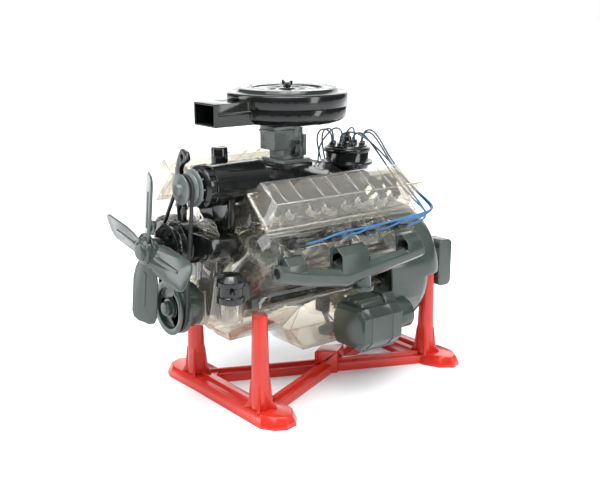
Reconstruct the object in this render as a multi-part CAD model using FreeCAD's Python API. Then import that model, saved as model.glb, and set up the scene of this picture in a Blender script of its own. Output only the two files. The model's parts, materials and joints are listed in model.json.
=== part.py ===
"""Transparent V8 demonstration engine on a cross-braced stand, about one quarter of full size.

Units are millimetres. The engine frame has +Z up, the crank axis along Y and the fan at -Y.
Each bank is drawn upright, with u up its bores and v across it, and is then leaned over by 45 degrees.
Left is +X, as the engine's left hand is when it faces its fan. Everything is moved by ROW_Y when it
is written, so that the row's origin is under the middle of the whole object, at the level of its feet.
"""

import FreeCAD, Part
import math
import os

V = FreeCAD.Vector

# --- driving dimensions -------------------------------------------------------------------------
CRANK_Z = 74.5  # crank axis above the surface the stand rests on
BANK_ANGLE = 45.0
BORE_R = 12.7
BORE_PITCH = 28.0
BORES = 4
MID_Y = 1.0  # middle of the block
BLOCK_FRONT = -58.0
BLOCK_REAR = 60.0
DECK = 58.5  # crank axis to the top of the bores, along u
RAIL = 85.5  # crank axis to the valve cover rail
THROW = 10.0
ROD_LENGTH = 38.0
ROD_WIDTH = 5.2
ROD_PITCH = 5.8  # stagger between the two banks
MAIN_R = 6.0
PIN_R = 5.5
PLUG_X = 67.2  # the head's upright spark plug face
PLUG_Z = 123.0
EXHAUST_PORTS = [(-47.0, 15.0), (-2.0, 24.0), (49.0, 15.0)]  # middle and width along Y
PORT_X = 70.0  # the exhaust ports' face
PORT_Z = (104.0, 116.0)
WRIST_R = 2.2  # wrist pin
WRIST_SLACK = 0.75  # the wrist pin is the pivot where each slider crank is opened
RUN = 0.08  # radial clearance of a running fit
WALL = 1.7
COVER_SKIN = 1.5
TIMING_MODULE = 1.35
CRANK_TEETH = 14
CAM_TEETH = 28
CAM_UP = TIMING_MODULE * (CRANK_TEETH + CAM_TEETH) / 2
RING_MODULE = 1.0
RING_TEETH = 88
PINION_TEETH = 14
FLYWHEEL_Y = 66.5
FLYWHEEL_WIDTH = 5.0
STARTER_X = 45.0
STARTER_Z = CRANK_Z - math.sqrt((RING_MODULE * (RING_TEETH + PINION_TEETH) / 2) ** 2 - STARTER_X**2)
FAN_Z = CRANK_Z + 40.3
FAN_Y = -104.0
FAN_R = 49.5
FAN_BLADES = 4
FAN_TURN = -9.0  # how far the top blade leans towards +X
BLADE_PITCH = 21.0
BELT_Y = -87.0
CRANK_NOSE = -89.0
CRANK_PULLEY_R = 17.6
FAN_PULLEY_R = 15.0
GENERATOR_PULLEY_R = 9.5
GENERATOR_X = 20.0
GENERATOR_Z = 154.5
GENERATOR_R = 13.0
FILLER = (-5.0, -46.0)
NECK = (-19.0, -36.0)
CLEANER_Y = 5.0
CLEANER_R = 39.5
CLEANER_Z = 187.0
SNORKEL_HALF = 12.0
SNORKEL_MOUTH = -60.0
SNORKEL_H = 14.6
DUCT_WALL = 1.2
DISTRIBUTOR_Y = 58.0
TOWER_RING = 11.2
TOWER_TOP = 168.5
FRONT_POST_X = 39.3
FRONT_POST_Y = -47.0
REAR_POST_X = 30.0
REAR_POST_Y = 112.0
BELL_REAR = 112.0
DOME_REAR = 115.4
BAR_H = 8.0
FRONT_END = -110.5  # foremost point, the fan hub's nose
REAR_END = 131.5  # rearmost point, the stand's rear bar
ROW_Y = -(FRONT_END + REAR_END) / 2

MAIN_YS = [MID_Y + (i - BORES / 2) * BORE_PITCH for i in range(BORES + 1)]
THROW_YS = [MID_Y + (i - (BORES - 1) / 2) * BORE_PITCH for i in range(BORES)]
THROW_UP = [True, False, False, True]  # a flat-plane shaft: outer throws up, inner throws down
CAM_Z = CRANK_Z + CAM_UP
PUSHROD_TOP = (-17.0, 89.5)  # v, u
VALVE_V = -3.0
VALVE_GAP = 6.0  # each valve's distance from its bore's middle, along Y
K = math.sqrt(0.5)

parts = {}


# --- shape helpers ------------------------------------------------------------------------------
def box(x0, x1, y0, y1, z0, z1):
    return Part.makeBox(x1 - x0, y1 - y0, z1 - z0, V(x0, y0, z0))


def ycyl(r, x, z, y0, y1):
    return Part.makeCylinder(r, y1 - y0, V(x, y0, z), V(0, 1, 0))


def zcyl(r, x, y, z0, z1):
    return Part.makeCylinder(r, z1 - z0, V(x, y, z0), V(0, 0, 1))


def rod_between(r, a, b):
    a, b = V(*a), V(*b)
    return Part.makeCylinder(r, (b - a).Length, a, b - a)


def polygon(points):
    return Part.Face(Part.makePolygon([V(*p) for p in points] + [V(*points[0])]))


def prism_y(xz, y0, y1):
    return polygon([(x, y0, z) for x, z in xz]).extrude(V(0, y1 - y0, 0))


def prism_x(yz, x0, x1):
    return polygon([(x0, y, z) for y, z in yz]).extrude(V(x1 - x0, 0, 0))


def prism_z(xy, z0, z1):
    return polygon([(x, y, z0) for x, y in xy]).extrude(V(0, 0, z1 - z0))


def lathe_z(rz, x, y):
    """A solid turned about a vertical axis from (radius, height) points."""
    return polygon([(x + r, y, z) for r, z in rz]).revolve(V(x, y, 0), V(0, 0, 1), 360)


def lathe_y(ry, x, z):
    return polygon([(x + r, y, z) for r, y in ry]).revolve(V(x, 0, z), V(0, 1, 0), 360)


def fuse(*shapes):
    whole = shapes[0].multiFuse(list(shapes[1:])) if len(shapes) > 1 else shapes[0]
    return whole.removeSplitter()


def cut(shape, *tools):
    return shape.cut(Part.makeCompound(list(tools))) if len(tools) == 1 else shape.cut(list(tools))


def mirror_x(shape):
    return shape.mirror(V(0, 0, 0), V(1, 0, 0))


def mirrored_xz(xz):
    """A closed outline from its +X half, given from the bottom up."""
    return xz + [(-x, z) for x, z in reversed(xz)]


def to_bank(shape, side):
    """Leans an upright bank shape over and puts it on the crank axis; side is 1 for left, -1 for right."""
    leaned = shape.copy()
    leaned.rotate(V(0, 0, 0), V(0, 1, 0), BANK_ANGLE)
    leaned.translate(V(0, 0, CRANK_Z))
    return leaned if side > 0 else mirror_x(leaned)


def bank_point(v, u, y, side):
    return (side * (u + v) * K, y, (u - v) * K + CRANK_Z)


def bore_ys(side):
    return [y - side * ROD_PITCH / 2 for y in THROW_YS]


def valve_ys(side):
    return [y + d for y in bore_ys(side) for d in (-VALVE_GAP, VALVE_GAP)]


def add(name, *shapes):
    """Keeps a node. Its solids stay separate, moved into the row's frame."""
    solids = [s for shape in shapes for s in shape.Solids]
    parts[name] = Part.makeCompound([s.translated(V(0, ROW_Y, 0)) for s in solids])


def hull_of_circles(circles, grow, y0, y1):
    """The convex loop around circles (x, z, r), each given going round once, as a solid along Y."""
    shapes = [ycyl(r + grow, x, z, y0, y1) for x, z, r in circles]
    for (xa, za, ra), (xb, zb, rb) in zip(circles, circles[1:] + circles[:1]):
        ra, rb = ra + grow, rb + grow
        gap = math.hypot(xb - xa, zb - za)
        along = math.atan2(zb - za, xb - xa)
        lean = math.acos((ra - rb) / gap)
        corners = []
        for x, z, r, turn in (
            (xa, za, ra, lean), (xb, zb, rb, lean), (xb, zb, rb, -lean), (xa, za, ra, -lean)
        ):
            corners.append((x + r * math.cos(along + turn), z + r * math.sin(along + turn)))
        shapes.append(prism_y(corners, y0, y1))
    return fuse(*shapes)


def gear(module, teeth, x, z, y0, y1, tooth_at, backlash=0.12):
    """A spur gear about Y with involute flanks; one tooth's middle is at tooth_at, from +X to +Z."""
    pressure = math.radians(20)
    pitch_r = module * teeth / 2
    base_r = pitch_r * math.cos(pressure)
    tip_r = pitch_r + 0.9 * module
    root_r = pitch_r - 1.15 * module
    start_r = max(base_r, root_r + 0.1 * module)

    def involute(r):
        a = math.acos(min(1.0, base_r / r))
        return math.tan(a) - a

    half = math.pi / (2 * teeth) - backlash / (2 * pitch_r) + involute(pitch_r)
    flank = [start_r + (tip_r - start_r) * i / 3 for i in range(4)]
    points = []
    for k in range(teeth):
        middle = tooth_at + 2 * math.pi * k / teeth
        rising = [(root_r, -half + involute(start_r))] + [(r, -half + involute(r)) for r in flank]
        for r, a in rising + [(r, -a) for r, a in reversed(rising)]:
            points.append((x + r * math.cos(middle + a), z + r * math.sin(middle + a)))
    return prism_y(points, y0, y1)


def ring_of(count, radius, start=0.0):
    """Angles and offsets of things spaced evenly round a circle."""
    for k in range(count):
        a = start + 2 * math.pi * k / count
        yield a, radius * math.cos(a), radius * math.sin(a)


# --- block, heads and covers --------------------------------------------------------------------
def pushrod_axis(y, side):
    """Both ends of one pushrod's line, from just off the cam to its rocker."""
    top = bank_point(PUSHROD_TOP[0], PUSHROD_TOP[1], y, side)
    foot = (0.0, y, CAM_Z)
    gap = math.dist(top, foot)

    def at(distance):
        return tuple(f + (t - f) * distance / gap for f, t in zip(foot, top))

    return at, gap


def engine_block():
    half = [(34, CRANK_Z), (34, CRANK_Z + 7.5)]
    for v in (19.0, -24.0):
        x, _, z = bank_point(v, DECK, 0, 1)
        half.append((x, z))
    half.append((11.5, CRANK_Z + 45))
    outline = half + [(-x, z) for x, z in reversed(half)]
    body = prism_y(outline, BLOCK_FRONT, BLOCK_REAR)
    tools = [ycyl(MAIN_R + RUN, 0, CRANK_Z, BLOCK_FRONT - 1, BLOCK_REAR + 1)]
    tools.append(ycyl(MAIN_R + RUN, 0, CAM_Z, BLOCK_FRONT - 1, BLOCK_REAR - 3))
    for y in THROW_YS:
        tools.append(ycyl(21, 0, CRANK_Z, y - 11.3, y + 11.3))
    for side in (1, -1):
        for y in bore_ys(side):
            tools.append(to_bank(zcyl(BORE_R, 0, y, 12, DECK + 2), side))
        for y in valve_ys(side):
            at, _ = pushrod_axis(y, side)
            tools.append(rod_between(2.4 + RUN, at(4), at(30)))
            tools.append(rod_between(1.6, at(28), at(60)))
    y0, y1 = FRONT_POST_Y - 7, FRONT_POST_Y + 7
    mounts = []
    for side in (1, -1):
        inner, middle, outer = side * 34, side * 41, side * 44
        mounts.append(box(min(inner, middle), max(inner, middle), y0, y1, CRANK_Z - 2.2, CRANK_Z + 9))
        mounts.append(box(min(inner, outer), max(inner, outer), y0, y1, CRANK_Z - 2.2, CRANK_Z + 1.5))
    return fuse(cut(body, *tools), *mounts)


def main_bearing_caps():
    caps = []
    for y in MAIN_YS:
        cap = box(-11, 11, y - 2.7, y + 2.7, CRANK_Z - 10, CRANK_Z)
        ends = [box(s * 13.5 - 2.5, s * 13.5 + 2.5, y - 2.7, y + 2.7, CRANK_Z - 6, CRANK_Z) for s in (1, -1)]
        caps.append(cut(fuse(cap, *ends), ycyl(MAIN_R + RUN, 0, CRANK_Z, y - 4, y + 4)))
    return caps


def pan_form(gap, top):
    """The pan's outer shape, or its hollow at a gap of one wall: a shallow front and a deep sump."""
    shallow_across = mirrored_xz([(10.5 - gap * 0.4, -28 + gap), (33.5 - gap, -5), (33.5 - gap, top)])
    shallow_side = [(BLOCK_FRONT + gap, top), (BLOCK_FRONT + gap, -19), (-51 + gap, -28 + gap)]
    shallow_side += [(10, -28 + gap), (10, top)]
    deep_across = mirrored_xz([(18 - gap, -45 + gap), (20.5 - gap, -28), (33.5 - gap, -5), (33.5 - gap, top)])
    deep_side = [(-9 + gap, top), (-9 + gap, -28), (5 + gap, -45 + gap), (56 - gap, -45 + gap)]
    deep_side += [(BLOCK_REAR - gap, -32), (BLOCK_REAR - gap, top)]
    halves = []
    for across, side in ((shallow_across, shallow_side), (deep_across, deep_side)):
        along = prism_y([(x, z + CRANK_Z) for x, z in across], BLOCK_FRONT, BLOCK_REAR)
        halves.append(along.common(prism_x([(y, z + CRANK_Z) for y, z in side], -60, 60)))
    return fuse(*halves)


def oil_pan():
    flange = box(-37, 37, BLOCK_FRONT, BLOCK_REAR, CRANK_Z - 2.0, CRANK_Z)
    y0, y1 = FRONT_POST_Y - 8, FRONT_POST_Y + 8
    notches = [box(s * 36 - 9, s * 36 + 9, y0, y1, CRANK_Z - 5, CRANK_Z + 1) for s in (1, -1)]
    cap_notch = box(-16.2, 16.2, BLOCK_FRONT - 1, BLOCK_REAR + 1, CRANK_Z - 10.2, CRANK_Z + 1)
    return cut(fuse(pan_form(0, 0), cut(flange, *notches)), pan_form(WALL, 3), cap_notch)


def timing_cover():
    circles = [(0, CRANK_Z, 14.0), (0, CAM_Z, 21.5)]

    def loop(grow, y0, y1):
        return hull_of_circles(circles, grow, y0, y1)

    shell = fuse(loop(WALL, BLOCK_FRONT - 10.5, BLOCK_FRONT), loop(WALL + 2.6, BLOCK_FRONT - 2, BLOCK_FRONT))
    ribs = []
    for x in (-9.0, 0.0, 9.0):
        top = CRANK_Z + 14 - abs(x) / 2
        ribs.append(box(x - 1, x + 1, BLOCK_FRONT - 11.6, BLOCK_FRONT - 10, CRANK_Z - 13, top))
    shell = fuse(shell, *ribs)
    hollow = loop(0, BLOCK_FRONT - 10.5 + WALL, BLOCK_FRONT + 1)
    return cut(shell, hollow, ycyl(5.6, 0, CRANK_Z, BLOCK_FRONT - 14, BLOCK_FRONT))


def cylinder_head(side):
    outline = [(-24, DECK), (19, DECK), (22, 62), (22, 73), (9.5, RAIL), (-24, RAIL), (-26, 76), (-25.5, 62)]
    body = prism_y(outline, BLOCK_FRONT, BLOCK_REAR)
    tools = []
    for y in bore_ys(side):
        tools.append(zcyl(11.4, 0, y, DECK - 1, DECK + 3.5))
    for y in valve_ys(side):
        tools.append(zcyl(1.1, VALVE_V, y, DECK, RAIL + 1))
    leaned = [to_bank(t, side) for t in tools]
    for y in valve_ys(side):
        at, gap = pushrod_axis(y, side)
        leaned.append(rod_between(1.6, at(30), at(gap + 2)))
    for y in bore_ys(side):
        leaned.append(rod_between(2.6, (side * (PLUG_X - 5), y, PLUG_Z), (side * (PLUG_X + 5), y, PLUG_Z)))
    bosses = []
    for y, width in EXHAUST_PORTS:
        low, high = PORT_Z
        boss = prism_y(
            [(56, low), (PORT_X, low), (PORT_X, high), (64, high + 1.5), (56, high)],
            y - width / 2,
            y + width / 2,
        )
        bosses.append(boss if side > 0 else mirror_x(boss))
        window = box(PORT_X - 4, PORT_X + 1, y - width / 2 + 3, y + width / 2 - 3, low + 3, high - 3)
        leaned.append(window if side > 0 else mirror_x(window))
    return cut(fuse(to_bank(body, side), *bosses), *leaned)


def valve_cover(side):
    def section(gap, foot):
        return [
            (-21 + gap, foot), (5.5 - gap, foot), (-1 - gap * 0.9, 105.5 - gap * 1.1),
            (-21 + gap, 100.5 - gap * 1.2)
        ]

    y0, y1 = BLOCK_FRONT, BLOCK_REAR
    shell = prism_y(section(0, RAIL), y0, y1)
    slope = math.atan2(5.0, 20.0)
    ribs = []
    for y in valve_ys(side):
        rib = box(-8.5, 8.0, y - 0.7, y + 0.7, -0.5, 0.7)
        rib.rotate(V(0, 0, 0), V(0, 1, 0), -math.degrees(slope))
        rib.translate(V(-10.5, 0, 103.1))
        ribs.append(rib)
    flange = box(-23.2, 8.2, y0 - 1.8, y1 + 1.8, RAIL, RAIL + 1.6)
    hollow = prism_y(section(COVER_SKIN, RAIL - 1), y0 + COVER_SKIN, y1 - COVER_SKIN)
    cover = cut(fuse(shell, flange, *ribs), hollow)
    return to_bank(cover, side)


# --- crank train --------------------------------------------------------------------------------
def throw_z(i):
    return CRANK_Z + (THROW if THROW_UP[i] else -THROW)


def crankshaft():
    solids = [ycyl(MAIN_R, 0, CRANK_Z, y - 3, y + 3) for y in MAIN_YS]
    for i, y in enumerate(THROW_YS):
        up = 1 if THROW_UP[i] else -1
        solids.append(ycyl(PIN_R, 0, throw_z(i), y - 7, y + 7))
        for y0 in (y - 11, y + 7):
            disc = ycyl(17, 0, CRANK_Z, y0, y0 + 4)
            fan_line = [(-20, -20), (20, -20), (9, -2), (-9, -2)]
            counterweight = prism_y([(x, CRANK_Z + up * z) for x, z in fan_line], y0, y0 + 4)
            solids.append(disc.common(counterweight))
            solids.append(hull_of_circles([(0, CRANK_Z, 8.0), (0, throw_z(i), 7.4)], 0, y0, y0 + 4))
    solids.append(ycyl(5.2, 0, CRANK_Z, CRANK_NOSE, MAIN_YS[0]))
    solids.append(ycyl(MAIN_R, 0, CRANK_Z, MAIN_YS[-1], BLOCK_REAR + 1))
    solids.append(ycyl(8.5, 0, CRANK_Z, BLOCK_REAR + 0.4, FLYWHEEL_Y - 1))
    return fuse(*solids)


def timing_gear_teeth():
    y0, y1 = BLOCK_FRONT - 6.5, BLOCK_FRONT - 1.5
    crank = gear(TIMING_MODULE, CRANK_TEETH, 0, CRANK_Z, y0, y1, math.pi / 2)
    cam = gear(TIMING_MODULE, CAM_TEETH, 0, CAM_Z, y0, y1, -math.pi / 2 + math.pi / CAM_TEETH)
    holes = [ycyl(3.4, x, CAM_Z + z, y0 - 1, y1 + 1) for _, x, z in ring_of(5, 10.5, math.pi / 2)]
    hub = ycyl(6.5, 0, CAM_Z, y0 - 1, y0)
    return cut(crank, ycyl(5.2, 0, CRANK_Z, y0 - 1, y1 + 1)), cut(
        fuse(cam, hub), ycyl(3.0, 0, CAM_Z, y0 - 2, y1 + 1), *holes
    )


def camshaft():
    solids = [ycyl(3.6, 0, CAM_Z, BLOCK_FRONT, BLOCK_REAR - 4)]
    solids.append(ycyl(3.0, 0, CAM_Z, BLOCK_FRONT - 8.0, BLOCK_FRONT))
    for y in MAIN_YS:
        y0, y1 = max(y - 2.6, BLOCK_FRONT), min(y + 2.6, BLOCK_REAR - 4)
        solids.append(ycyl(MAIN_R, 0, CAM_Z, y0, y1))
    for n, y in enumerate(sorted(valve_ys(1) + valve_ys(-1))):
        lobe_at = math.radians(45 + 112.5 * n)
        base = hull_of_circles(
            [(0, CAM_Z, 3.9), (1.9 * math.cos(lobe_at), CAM_Z + 1.9 * math.sin(lobe_at), 3.0)],
            0,
            y - 1.2,
            y + 1.2,
        )
        solids.append(base)
    return fuse(*solids)


def wrist_height(i):
    """Crank axis to wrist pin, along u, at rest."""
    lean = math.radians(BANK_ANGLE)
    along = THROW * math.cos(lean) * (1 if THROW_UP[i] else -1)
    return along + math.sqrt(ROD_LENGTH**2 - (THROW * math.sin(lean)) ** 2)


def piston_and_pin(i, side):
    y, u = bore_ys(side)[i], wrist_height(i)
    body = zcyl(BORE_R - 0.12, 0, y, u - 7, u + 9.6)
    tools = [zcyl(10.0, 0, y, u - 8, u + 6.6)]
    for groove in (3.4, 5.4, 7.4):
        low, high = u + groove, u + groove + 0.8
        tools.append(zcyl(20, 0, y, low, high).cut(zcyl(11.7, 0, y, low, high)))
    bosses = [ycyl(4.2, 0, u, y - 10.8, y - 4.5), ycyl(4.2, 0, u, y + 4.5, y + 10.8)]
    piston = cut(fuse(cut(body, *tools), *bosses), ycyl(WRIST_R + 0.02, 0, u, y - 14, y + 14))
    pin = ycyl(WRIST_R, 0, u, y - 10.5, y + 10.5)
    return to_bank(piston, side), to_bank(pin, side)


def connecting_rod(i, side):
    """A rod drawn along +Z from its crankpin, then leaned towards its wrist pin."""
    y = bore_ys(side)[i]
    y0, y1 = y - ROD_WIDTH / 2, y + ROD_WIDTH / 2
    big = ycyl(8.3, 0, 0, y0, y1)
    ears = box(-9.4, 9.4, y0 + 0.4, y1 - 0.4, -3.2, 3.2)
    small = ycyl(WRIST_R + WRIST_SLACK + 1.5, 0, ROD_LENGTH, y0, y1)
    beam = prism_y([(-3.6, 6), (3.6, 6), (2.6, ROD_LENGTH - 3), (-2.6, ROD_LENGTH - 3)], y - 1.8, y + 1.8)
    web = [
        prism_y([(-2.2, 10), (2.2, 10), (1.5, 31), (-1.5, 31)], a, b)
        for a, b in ((y - 3, y - 0.9), (y + 0.9, y + 3))
    ]
    eyes = [
        ycyl(PIN_R + RUN, 0, 0, y0 - 1, y1 + 1), ycyl(WRIST_R + WRIST_SLACK, 0, ROD_LENGTH, y0 - 1, y1 + 1)
    ]
    rod = cut(fuse(big, ears, small, beam), *web, *eyes)
    wx, _, wz = bank_point(0, wrist_height(i), 0, side)
    lean = math.degrees(math.atan2(wx, wz - throw_z(i)))
    rod.rotate(V(0, 0, 0), V(0, 1, 0), lean)
    rod.translate(V(0, 0, throw_z(i)))
    return rod


def flywheel():
    y0, y1 = FLYWHEEL_Y, FLYWHEEL_Y + FLYWHEEL_WIDTH
    ring = gear(RING_MODULE, RING_TEETH, 0, CRANK_Z, y0, y1, pinion_angle())
    lighten = [ycyl(5.0, x, CRANK_Z + z, y0 - 1, y1 + 1) for _, x, z in ring_of(6, 27)]
    hub = ycyl(12, 0, CRANK_Z, y0 - 1, y1 + 3)
    return cut(fuse(ring, hub), ycyl(3.5, 0, CRANK_Z, y0 - 2, y1 + 4), *lighten)


def pinion_angle():
    """Direction from the crank axis to the pinion, from +X to +Z."""
    return math.atan2(STARTER_Z - CRANK_Z, STARTER_X)


# --- valve gear ---------------------------------------------------------------------------------
def rocker_arms():
    arms = []
    rocker_line = [
        (-19, 90.4), (-12.5, 89.6), (-8.2, 90.2), (-6.6, 91.9), (-1, 92.7), (-1, 94.8), (-10, 95.8),
        (-19, 93.6)
    ]
    for side in (1, -1):
        for y in valve_ys(side):
            arm = prism_y(rocker_line, y - 2.1, y + 2.1)
            arm = cut(arm, zcyl(1.45, -10.4, y, 80, 110))
            ball = Part.makeSphere(2.0, V(-10.4, y, 97.2)).common(zcyl(2.0, -10.4, y, 95.9, 99))
            stud = fuse(zcyl(1.35, -10.4, y, RAIL, 97.5), ball)
            arms += [to_bank(arm, side), to_bank(stud, side)]
    return arms


def valve_springs():
    rings = []
    for side in (1, -1):
        for y in valve_ys(side):
            coil = zcyl(3.1, VALVE_V, y, RAIL, 91.4)
            grooves = []
            for z in (86.4, 87.8, 89.2, 90.5):
                grooves.append(zcyl(4, VALVE_V, y, z, z + 0.55).cut(zcyl(2.5, VALVE_V, y, z, z + 0.55)))
            rings.append(to_bank(cut(coil, zcyl(1.1, VALVE_V, y, 80, 100), *grooves), side))
    return rings


def valves():
    made = []
    for side in (1, -1):
        for y in valve_ys(side):
            stem = zcyl(1.0, VALVE_V, y, DECK + 1.0, 92.2)
            disc = zcyl(4.6, VALVE_V, y, DECK + 0.6, DECK + 1.8)
            made.append(to_bank(fuse(stem, disc), side))
    return made


def pushrods_and_lifters():
    rods, lifters = [], []
    for side in (1, -1):
        for y in valve_ys(side):
            at, gap = pushrod_axis(y, side)
            rods.append(rod_between(0.9, at(17), at(gap)))
            lifters.append(rod_between(2.4, at(6.6), at(17)))
    return rods, lifters


# --- intake, carburettor and air cleaner --------------------------------------------------------
def intake_manifold():
    low = [(12, 124), (31.5, 143.2), (27, 141), (8, 138.5)]
    high = [(12, 124), (31.5, 143.2), (37.5, 149.2), (34, 152), (17, 158)]
    floor = prism_y(mirrored_xz(low), -54, 44)
    plenum = prism_y(mirrored_xz(high), -17, 30)
    nose = prism_x([(-17, 139), (-17, 153), (-30, 139)], -34, -28)
    tails = []
    for s in (1, -1):
        tails.append(prism_x([(30, 138), (30, 156), (47, 141), (47, 138)], s * 13 - 4, s * 13 + 4))
        tails.append(prism_x([(30, 140), (30, 151), (44, 143), (44, 140)], s * 26 - 4, s * 26 + 4))
    pad = box(-13.5, 13.5, CLEANER_Y - 13, CLEANER_Y + 11, 157, 160)
    webs = [box(s * 35 - 1, s * 35 + 1, -14, 27, 147.5, 153.5) for s in (1, -1)]
    neck = zcyl(7, *FILLER, 137, 142)
    neck_pad = box(NECK[0] - 8, NECK[0] + 8, NECK[1] - 8, NECK[1] + 8, 138, 141.2)
    body = fuse(floor, plenum, pad, nose, *tails, neck, neck_pad, *webs)
    heads = [to_bank(box(-26.3, -10, -70, 70, 40, 110), s) for s in (1, -1)]
    well = zcyl(6.4, 0, CLEANER_Y, 150, 161)
    return cut(body, *heads, well, zcyl(6.8, 0, DISTRIBUTOR_Y, 100, 200))


def carburetor():
    y = CLEANER_Y
    base = box(-12.5, 12.5, y - 12, y + 9.5, 160, 162.6)
    throat = box(-8.0, 8.0, y - 9, y + 8, 162.6, 170)
    bowl = box(-8.4, 8.4, y - 16.5, y - 1, 169, 184.4)
    barrel = box(-7.4, 7.4, y - 1, y + 7.6, 166, 183)
    lid = box(-9.0, 9.0, y - 17.1, y - 0.5, 180.4, 182)
    horn = zcyl(8.6, 0, y, 176, CLEANER_Z)
    pump = zcyl(2.6, 6.2, y + 8.2, 164, 178)
    choke = ycyl(3.6, -4.5, 176, y + 5, y + 11)
    whole = fuse(base, throat, bowl, barrel, lid, horn, pump, choke)
    bores = [zcyl(6.6, 0, y, 178, CLEANER_Z + 1), zcyl(5.6, 0, y, 159, 179)]
    return cut(whole, *bores, rod_between(0.9 + RUN, (-30, y, 166.5), (30, y, 166.5)))


def throttle_shaft():
    y = CLEANER_Y
    shaft = rod_between(0.9, (-10, y, 166.5), (13.0, y, 166.5))
    plate = zcyl(5.3, 0, y, 166.0, 167.0)
    lever = fuse(
        box(10.2, 11.6, y - 2.2, y + 2.2, 164, 169),
        box(10.2, 11.6, y - 1.8, y + 1.8, 169, 175),
        rod_between(1.0, (10.2, y, 173.5), (14, y, 173.5)),
    )
    return fuse(shaft, plate, lever)


def air_cleaner_base():
    z = CLEANER_Z
    r = CLEANER_R
    dish = lathe_z(
        [(0, z), (r - 7, z), (r - 2, z + 1.8), (r, z + 4), (r, z + 10.4), (0, z + 10.4)], 0, CLEANER_Y
    )
    duct = box(-SNORKEL_HALF, SNORKEL_HALF, SNORKEL_MOUTH, CLEANER_Y - 20, z + 1, z + 1 + SNORKEL_H)
    seam = box(
        -SNORKEL_HALF - 0.5, SNORKEL_HALF + 0.5, SNORKEL_MOUTH + 3, CLEANER_Y - r + 2, z + 8.2, z + 9.2
    )
    inner = [
        (0, z + WALL), (r - 8, z + WALL), (r - WALL - 1.5, z + 3.4), (r - WALL, z + 5),
        (r - WALL, z + 20), (0, z + 20)
    ]
    hollow = lathe_z(inner, 0, CLEANER_Y)
    bore_half = SNORKEL_HALF - DUCT_WALL
    low, high = z + 1 + DUCT_WALL, z + 1 + SNORKEL_H - DUCT_WALL
    duct_bore = box(-bore_half, bore_half, SNORKEL_MOUTH - 1, CLEANER_Y - 20, low, high)
    above = zcyl(r + 1.2, 0, CLEANER_Y, z + 10.4, z + 30)
    stud = zcyl(1.0, 0, CLEANER_Y, z - 8, z + 24.5)
    bridge = box(-7.4, 7.4, CLEANER_Y - 1.2, CLEANER_Y + 1.2, z, z + WALL)
    opening = zcyl(6.9, 0, CLEANER_Y, z - 1, z + 4)
    made = cut(fuse(dish, duct, seam), hollow, duct_bore, opening, above)
    return fuse(made, bridge, stud)


def air_filter():
    z = CLEANER_Z
    return zcyl(33, 0, CLEANER_Y, z + 2.4, z + 17.6).cut(zcyl(25, 0, CLEANER_Y, z + 2, z + 18))


def air_cleaner_lid():
    z = CLEANER_Z
    r = CLEANER_R + 0.6
    outer = [(0, z + 22), (5, z + 22), (6.5, z + 20.9), (13.5, z + 20.9), (15, z + 21.6), (22.2, z + 21.6)]
    outer += [
        (22.8, z + 21), (23.6, z + 21), (24.2, z + 22.2), (33.2, z + 22.2), (34.2, z + 20.4),
        (35, z + 19.9)
    ]
    outer += [(r - 1.6, z + 19.9), (r - 0.5, z + 19.4), (r, z + 18.4), (r, z + 10.7)]
    inner = [
        (r - WALL, z + 10.7), (r - WALL, z + 17.6), (r - 2.4, z + 18.2), (33, z + 18.4), (32.2, z + 20.3)
    ]
    inner += [(0, z + 19.3)]
    lid = lathe_z(outer + inner, 0, CLEANER_Y)
    half = SNORKEL_HALF + 0.3
    duct = box(-half, half, CLEANER_Y - CLEANER_R - 3, CLEANER_Y - 28, z, z + 1 + SNORKEL_H + 0.3)
    holes = []
    for quarter in range(4):
        for step in (-0.22, 0, 0.22):
            a = math.pi / 4 + quarter * math.pi / 2 + step
            holes.append(zcyl(1.9, 10 * math.cos(a), CLEANER_Y + 10 * math.sin(a), z + 16, z + 24))
    return cut(lid, duct, zcyl(1.25, 0, CLEANER_Y, z, z + 30), *holes)


def wing_nut():
    z = CLEANER_Z + 22.2
    hub = lathe_z([(0, z), (2.6, z), (2.1, z + 2.8), (0, z + 2.8)], 0, CLEANER_Y)
    wings = []
    for s in (1, -1):
        outline = [(1.6, 0.5), (5.0, 1.8), (5.4, 4.6), (4.0, 4.3), (1.6, 2.4)]
        wings.append(prism_y([(s * x, z + up) for x, up in outline], CLEANER_Y - 0.7, CLEANER_Y + 0.7))
    return fuse(cut(hub, zcyl(1.1, 0, CLEANER_Y, z - 1, z + 6)), *wings)


# --- front end ----------------------------------------------------------------------------------
def fan():
    blades = []
    for k in range(FAN_BLADES):
        half = [(5.5, 7), (8.2, 13), (9.8, 21), (9.8, FAN_R - 5.5), (8.2, FAN_R - 1.6), (4.5, FAN_R)]
        outline = half + [(-x, z) for x, z in reversed(half)]
        blade = prism_y(outline, -0.7, 0.7)
        rib = box(-0.9, 0.9, -1.3, 0.7, 15, 38)
        blade = fuse(blade, rib)
        blade.rotate(V(0, 0, 0), V(0, 0, 1), -BLADE_PITCH)
        blade.rotate(V(0, 0, 0), V(0, 1, 0), -FAN_TURN + 360 * k / FAN_BLADES)
        blades.append(blade)
    plate = ycyl(11, 0, 0, -0.9, 0.9)
    boss = lathe_y([(0, -6.5), (4.5, -6.5), (6, -5.5), (6, -4.0), (8.5, -3.5), (8.5, 2.0), (0, 2.0)], 0, 0)
    whole = fuse(plate, boss, *blades)
    whole.translate(V(0, FAN_Y, FAN_Z))
    return whole


def grooved_pulley(r, x, z, bore):
    y = BELT_Y
    rim = [
        (bore, y - 4), (r, y - 4), (r, y - 3.2), (r - 2.6, y - 1.2), (r - 2.6, y + 1.2), (r, y + 3.2),
        (r, y + 4), (bore, y + 4)
    ]
    return lathe_y(rim, x, z)


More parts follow.
